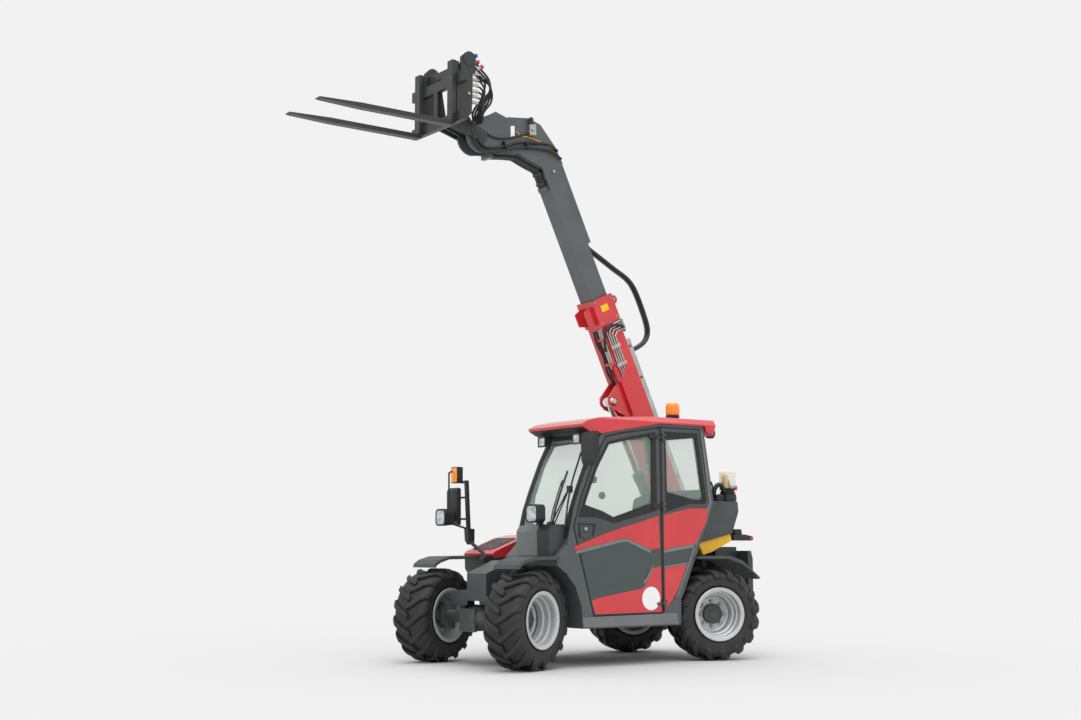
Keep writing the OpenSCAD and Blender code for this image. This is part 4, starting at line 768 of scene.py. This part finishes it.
def cushion(name, low, high, crown_mm, lean=0.0):
    """A padded form: a box with many cuts, crowned on its open faces and pulled in between its corners."""
    (x0, y0, z0), (x1, y1, z1) = low, high
    builder = bmesh.new()
    bmesh.ops.create_cube(builder, size=2)
    bmesh.ops.subdivide_edges(builder, edges=builder.edges[:], cuts=7, use_grid_fill=True)
    for corner in builder.verts:
        a, b, c = corner.co
        swell = (1 - a * a) * (1 - b * b) + (1 - a * a) * (1 - c * c) + (1 - b * b) * (1 - c * c)
        grow = 1 + 0.12 * min(swell, 1)
        place = Vector(((a * grow + 1) / 2, (b * grow + 1) / 2, (c * grow + 1) / 2))
        x, y, z = (lo + t * (hi - lo) for lo, hi, t in zip((x0, y0, z0), (x1, y1, z1), place))
        sewn = crown_mm * 0.35 if abs(abs(b) - 0.5) < 0.01 else 0
        x += lean * (z - z0) + (sewn if x < (x0 + x1) / 2 and lean else 0)
        corner.co = mm(x, y, z - (sewn if z > (z0 + z1) / 2 and not lean else 0))
    mesh = bpy.data.meshes.new(name)
    builder.to_mesh(mesh)
    builder.free()
    obj = add_object(name, mesh)
    smooth = obj.modifiers.new("smooth", "SUBSURF")
    smooth.levels = smooth.render_levels = 1
    finish_piece(obj, "seat")


def build_seat():
    """The seat's box with its padded cushion and back."""
    base = slab("seat_base", [(-325, 358.4), (-5, 358.4), (-12, 752), (-318, 752)], 325, 615, lengthwise)
    finish_piece(base, "plastic", 12.0, 3, False)
    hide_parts("cab_seat")
    cushion("seat_cushion", (-372, 268, 762), (100, 672, 842), 16)
    cushion("seat_back", (-402, 284, 846), (-326, 656, 1408), 14, -0.13)


# Boom
COLLAR_FACE = BOOM_HALF + 14
COLLAR_BOLTS = [(2152, -150), (2140, 42), (1962, -150), (1962, 42)]
DECAL_AT = (2080, -56)
LIFT_PIN = (1257, -302)
NECK_FACE = 82.5


def build_boom():
    """Bolts, decals, pins, pipes, hoses and the valve on the boom."""
    for name, side in (("collar_bolts", 1), ("collar_bolts_right", -1)):
        heads = [boom(u, side * COLLAR_FACE, v) for u, v in COLLAR_BOLTS]
        finish_piece(bolt_heads(name, heads, (0, side, 0)), "bolt", smooth=False, body="outer_boom")
    decal = slab("blank_decal", round_rect(DECAL_AT, 30, 44, 5), COLLAR_FACE + 0.2, COLLAR_FACE + 0.8, boom)
    finish_piece(decal, "decal_yellow", smooth=False, body="outer_boom")
    for side in (1, -1):
        at = boom(LIFT_PIN[0], side * 67, LIFT_PIN[1])
        pin = turned(f"lift_pin_cap_{'left' if side > 0 else 'right'}",
                     [(0, 40), (4, 40), (6, 27), (16, 27), (18, 24)], at, (0, side, 0), 36)
        finish_piece(pin, "steel", body="outer_boom")
    tray = slab("pipe_tray", [(176, 63.3), (1726, 63.3), (1726, 104), (1710, 113), (192, 113), (176, 104)], 86, 99,
                boom)
    finish_piece(tray, "steel", 3.0, 2, False, body="outer_boom")
    for u in (330, 830, 1330, 1640):
        clamp = brick(f"tray_clamp_{u}", (u, 80, 70), (u + 26, 101, 92), boom)
        finish_piece(clamp, "plastic", 3.0, 2, False, body="outer_boom")
    arc = [(1706, -205, 88), (1800, -190, 112), (1866, -160, 124), (1904, -110, 128), (1906, -50, 126),
           (1880, 20, 122), (1850, 70, 116), (1806, 84, 96)]
    finish_piece(pipe("boom_face_hose", [boom(u, y, v) for u, v, y in arc], 13, 4), "hose", body="outer_boom")
    for y in (92, 70, 48):
        run = [boom(1926 - (92 - y) * 0.7, y, -150), boom(1900, y, BOOM_LOW - 12), boom(1480 + y, y, BOOM_LOW - 12)]
        finish_piece(pipe(f"belly_pipe_{y}", run, 8, 4, False), "steel", body="outer_boom")
    for count, (y, wave) in enumerate(((18, 8), (-12, 10))):
        route = [(1900 - 80 * i, -180 + wave * math.cos(i * 1.7 + count)) for i in range(9)]
        hose = pipe(f"belly_hose_{count}", [boom(u, y, v) for u, v in route], 10, 3)
        finish_piece(hose, "hose", body="outer_boom")
    for u in (1800, 1560):
        band = brick(f"belly_clamp_{u}", (u, -30, BOOM_LOW - 26), (u + 26, 102, BOOM_LOW - 0.3), boom)
        finish_piece(band, "red", 3.0, 2, False, body="outer_boom")
    stud = turned("boom_stud", [(0, 15), (7, 15), (9, 11)], boom(3400, NECK_FACE, -40), (0, 1, 0), 28)
    finish_piece(stud, "steel", body="inner_boom")
    plate = slab("blank_plate", [(3826, -365), (3915, -322), (3903, -281), (3814, -324)], NECK_FACE,
                 NECK_FACE + 1.2, boom)
    finish_piece(plate, "decal_white", smooth=False, body="inner_boom")
    valve = slab("valve_block", [(3780, -196), (3870, -158), (3850, -88), (3760, -128)], NECK_FACE, NECK_FACE + 56,
                 boom)
    finish_piece(valve, "steel", 3.0, 2, False, body="inner_boom")
    coil = turned("valve_coil", [(0, 22), (58, 22), (62, 18), (70, 10)], boom(3862, NECK_FACE + 30, -124),
                  boom(1, 0, 0.45) - boom(0, 0, 0), 32)
    finish_piece(coil, "plastic", 2.0, body="inner_boom")
    tap = turned("valve_plug", [(0, 15), (10, 15), (14, 11)], boom(3815, NECK_FACE + 56, -142), (0, 1, 0), 24)
    finish_piece(tap, "steel", body="inner_boom")


NECK_HOSES = [
    ("neck_hose_a", 98, 12, [(4010, -716), (3922, -724), (3840, -700), (3788, -600), (3764, -440), (3750, -300),
                             (3700, -150), (3640, 0), (3560, 70)]),
    ("neck_hose_b", 104, 11, [(4000, -760), (3890, -770), (3810, -730), (3752, -620), (3728, -450), (3700, -290),
                              (3640, -130), (3560, 10), (3480, 74)]),
    ("neck_hose_c", 94, 9, [(3960, -640), (3880, -560), (3830, -440), (3810, -300), (3800, -200)]),
]


def build_neck_hoses():
    """Hoses and a cable that lie along the boom's bent head."""
    for name, y, radius, route in NECK_HOSES:
        line = [boom(u, y, v) for u, v in route]
        finish_piece(pipe(name, line, radius, 4), "hose", body="inner_boom")
    cable = [(3857, -290), (3814, -270), (3772, -194), (3700, -90), (3639, -10), (3569, 60)]
    finish_piece(pipe("neck_cable", [boom(u, 90, v) for u, v in cable], 5, 3), "yellow", body="inner_boom")
    for u, v in ((3770, -470), (3700, -240)):
        band = brick(f"hose_band_{u}", (u - 30, NECK_FACE, v - 9), (u + 42, NECK_FACE + 34, v + 9), boom)
        finish_piece(band, "plastic", 4.0, 2, False, body="inner_boom")


# Couplings on the hitch, placed from the tilt pin
COUPLINGS = [((150, 262, 600), "cap_red"), ((150, 262, 540), "cap_red"), ((118, 278, 560), "cap_red"),
             ((176, 270, 650), "cap_blue"), ((196, 270, 560), "cap_green")]


def build_couplings():
    """Quick couplings with their caps and hoses on the hitch's left side."""
    bracket = brick("coupling_bracket", (196, 236, 470), (226, 292, 640), hitch)
    finish_piece(bracket, "fork_black", 3.0, 2, False, body="carriage")
    for count, (at, cap) in enumerate(COUPLINGS):
        body = turned(f"coupling_{count}", [(0, 17), (24, 17), (26, 14), (52, 14), (56, 12)],
                      hitch(at[0] + 60, at[1], at[2] - 40), (-0.86, 0, 0.5), 24)
        finish_piece(body, "steel", 1.0, body="carriage")
        lid = turned(f"coupling_cap_{count}", [(52, 19), (72, 19), (78, 15), (84, 6)],
                     hitch(at[0] + 60, at[1], at[2] - 40), (-0.86, 0, 0.5), 24)
        finish_piece(lid, cap, 1.0, body="carriage")
        drop = [hitch(at[0] + 60, at[1], at[2] - 40), hitch(at[0] - 30, at[1] - 6, at[2] - 96),
                hitch(20 - 12 * count, 250 - 14 * count, 410), hitch(-14 + 16 * count, 230 - 20 * count, 290),
                hitch(40 + 14 * count, 200 - 24 * count, 190), hitch(60 + 10 * count, 150 - 8 * count, 110)]
        finish_piece(pipe(f"coupling_hose_{count}", drop, 10, 3), "hose", body="carriage")
    for count in range(6):
        z = 228 + 50 * count
        nipple = turned(f"hitch_coupler_{count}", [(0, 18), (20, 18), (24, 14), (54, 14), (58, 18), (66, 18),
                                                   (70, 12)], hitch(222, 262 + 12 * (count % 2), z), (-1, 0, 0), 24)
        finish_piece(nipple, "steel", 1.0, body="carriage")
        elbow = [hitch(154, 262, z), hitch(112, 258, z - 14), hitch(92 - 5 * count, 250, z - 70),
                 hitch(84, 236, max(z - 150, 90)), hitch(76, 190 - 12 * count, 82)]
        finish_piece(pipe(f"hitch_hose_{count}", elbow, 9, 3), "hose", body="carriage")
    stud = turned("hitch_stud", [(0, 14), (8, 14), (11, 10)], hitch(268, 300, 283), (0, 1, 0), 28)
    finish_piece(stud, "steel", body="carriage")
    tag = slab("coupling_tag", [(84, 586), (140, 592), (172, 652), (88, 640)], 272, 273.2, hitch)
    finish_piece(tag, "decal_white", smooth=False, body="carriage")


# Section of the stepped well inside a rim
RIM_STEP = [(252, 197.6), (212, 197.2), (206, 184), (164, 180), (157, 165), (112, 161), (112, 168), (152, 172),
            (160, 187), (198, 191), (206, 197.6)]


def build_hubs():
    """Hub caps, the rims' inner steps and the tyre valves."""
    profile = [(96, 87.4), (122.4, 87.4), (130.6, 77), (130.6, 41), (138.6, 41), (138.8, 0.5)]
    for corner in CORNERS:
        place = wheel_place(corner)
        out = (place.to_3x3() @ Vector((0, 1, 0))).normalized()
        cap = turned("hub_cap_" + corner, profile, place @ Vector((0, 0, 0)), out, 48)
        finish_piece(cap, "casting", 1.0, 2, False, body="wheel_" + corner)
        ring = turned("rim_step_" + corner, RIM_STEP, place @ Vector((0, 0, 0)), out, 72, True)
        finish_piece(ring, "rim", 2.0, 2, False, body="wheel_" + corner)
        valve = pipe("tyre_valve_" + corner, [place @ (Vector((148, 168, 60)) / 1000),
                                              place @ (Vector((138, 196, 56)) / 1000)], 4, 3, False)
        finish_piece(valve, "plastic", body="wheel_" + corner)


def on_hood(a, side, b):
    """A point on the hood's sloping nose: a back along it, b out of it."""
    slope = math.atan2(110, 288)
    return mm(628 - a * math.cos(slope) + b * math.sin(slope), side,
              973 + a * math.sin(slope) + b * math.cos(slope))


def build_grilles():
    """The louvre on the engine's side, and the grille in the hood's nose."""
    louvre = frame_ring("side_louvre_frame", round_rect((-10, 640), 250, 128, 20),
                        round_rect((-10, 640), 232, 110, 12), -763, -759.8, lengthwise)
    finish_piece(louvre, "plastic", 1.0, 2, False)
    for count in range(9):
        z = 546 + 23 * count
        slat = slab(f"side_louvre_slat_{count}", [(-240, z), (220, z), (220, z + 14), (-240, z + 14)], -763.5,
                    -759.8, lengthwise)
        finish_piece(slat, "plastic", 1.6, 2, False)
    around = frame_ring("hood_grille_frame", round_rect((113, -545), 137, 160, 14),
                        round_rect((113, -545), 119, 146, 4), -1, 2, lambda a, b, c: on_hood(a, c, b))
    finish_piece(around, "plastic", 0.8, 2, False, body="hood")
    for count in range(7):
        bar = brick(f"hood_grille_bar_{count}", (16.5 + 30 * count, -689.5, -1), (29.5 + 30 * count, -400.5, 2),
                    on_hood)
        finish_piece(bar, "plastic", 0.8, 2, False, body="hood")
    backing = brick("hood_grille_backing", (-6, -696, -20.5), (236, -394, -18.5), on_hood)
    finish_piece(backing, "plastic", smooth=False, body="hood")


# Camera, light and floor
PALE = 0.888
FLOOR_SHADE = 0.62
FLOOR_HALF_M = 900
SUN_SHARE = 0.64
SUN_ANGLE = 55
CAMERA_AT = (7.57334, 10.597, 0.969)
CAMERA_PAN = -126.0
CAMERA_TILT = 7.16


def build_studio():
    """The photograph's camera, an even pale surrounding and two wide suns."""
    camera = bpy.data.cameras.new("camera")
    camera.lens = 50.0
    camera.sensor_width = 36.0
    holder = add_object("camera", camera)
    holder.location = CAMERA_AT
    pan, tilt = math.radians(CAMERA_PAN), math.radians(CAMERA_TILT)
    look = Vector((math.cos(pan) * math.cos(tilt), math.sin(pan) * math.cos(tilt), math.sin(tilt)))
    holder.rotation_mode = "QUATERNION"
    holder.rotation_quaternion = look.to_track_quat("-Z", "Y")
    bpy.context.scene.camera = holder

    edge = FLOOR_HALF_M
    floor = mesh_from("floor", [(-edge, -edge, 0), (edge, -edge, 0), (edge, edge, 0), (-edge, edge, 0)],
                      [[0, 1, 2, 3]])
    paint = new_material("studio_floor", Roughness=1.0, Specular_IOR_Level=0.0,
                         Base_Color=(FLOOR_SHADE, FLOOR_SHADE, FLOOR_SHADE, 1))[0]
    floor.data.materials.append(paint)

    world = bpy.data.worlds.new("studio")
    bpy.context.scene.world = world
    world.use_nodes = True
    back = world.node_tree.nodes["Background"]
    back.inputs["Color"].default_value = (PALE, PALE, PALE, 1)
    back.inputs["Strength"].default_value = 1.0
    # The lamps and the world together bring the floor to the background's own tone, so no horizon shows
    needed = math.pi * PALE * (1 / FLOOR_SHADE - 1)
    for name, place, share in (("key", Vector((5, 8, 14)), SUN_SHARE),
                               ("top", Vector((-3, -2, 12)), 1 - SUN_SHARE)):
        lamp = bpy.data.lights.new(name, "SUN")
        lamp.angle = math.radians(SUN_ANGLE)
        lamp.energy = needed * share / place.normalized().z
        obj = add_object(name, lamp)
        obj.location = place
        obj.rotation_mode = "QUATERNION"
        obj.rotation_quaternion = (-place).to_track_quat("-Z", "Y")


dress_solids()
build_wheels()
build_hubs()
build_grilles()
dress_cab()
build_lamps()
build_air_cleaner()
build_seat()
build_boom()
build_neck_hoses()
build_couplings()
build_studio()
bpy.context.scene.view_settings.view_transform = "Standard"
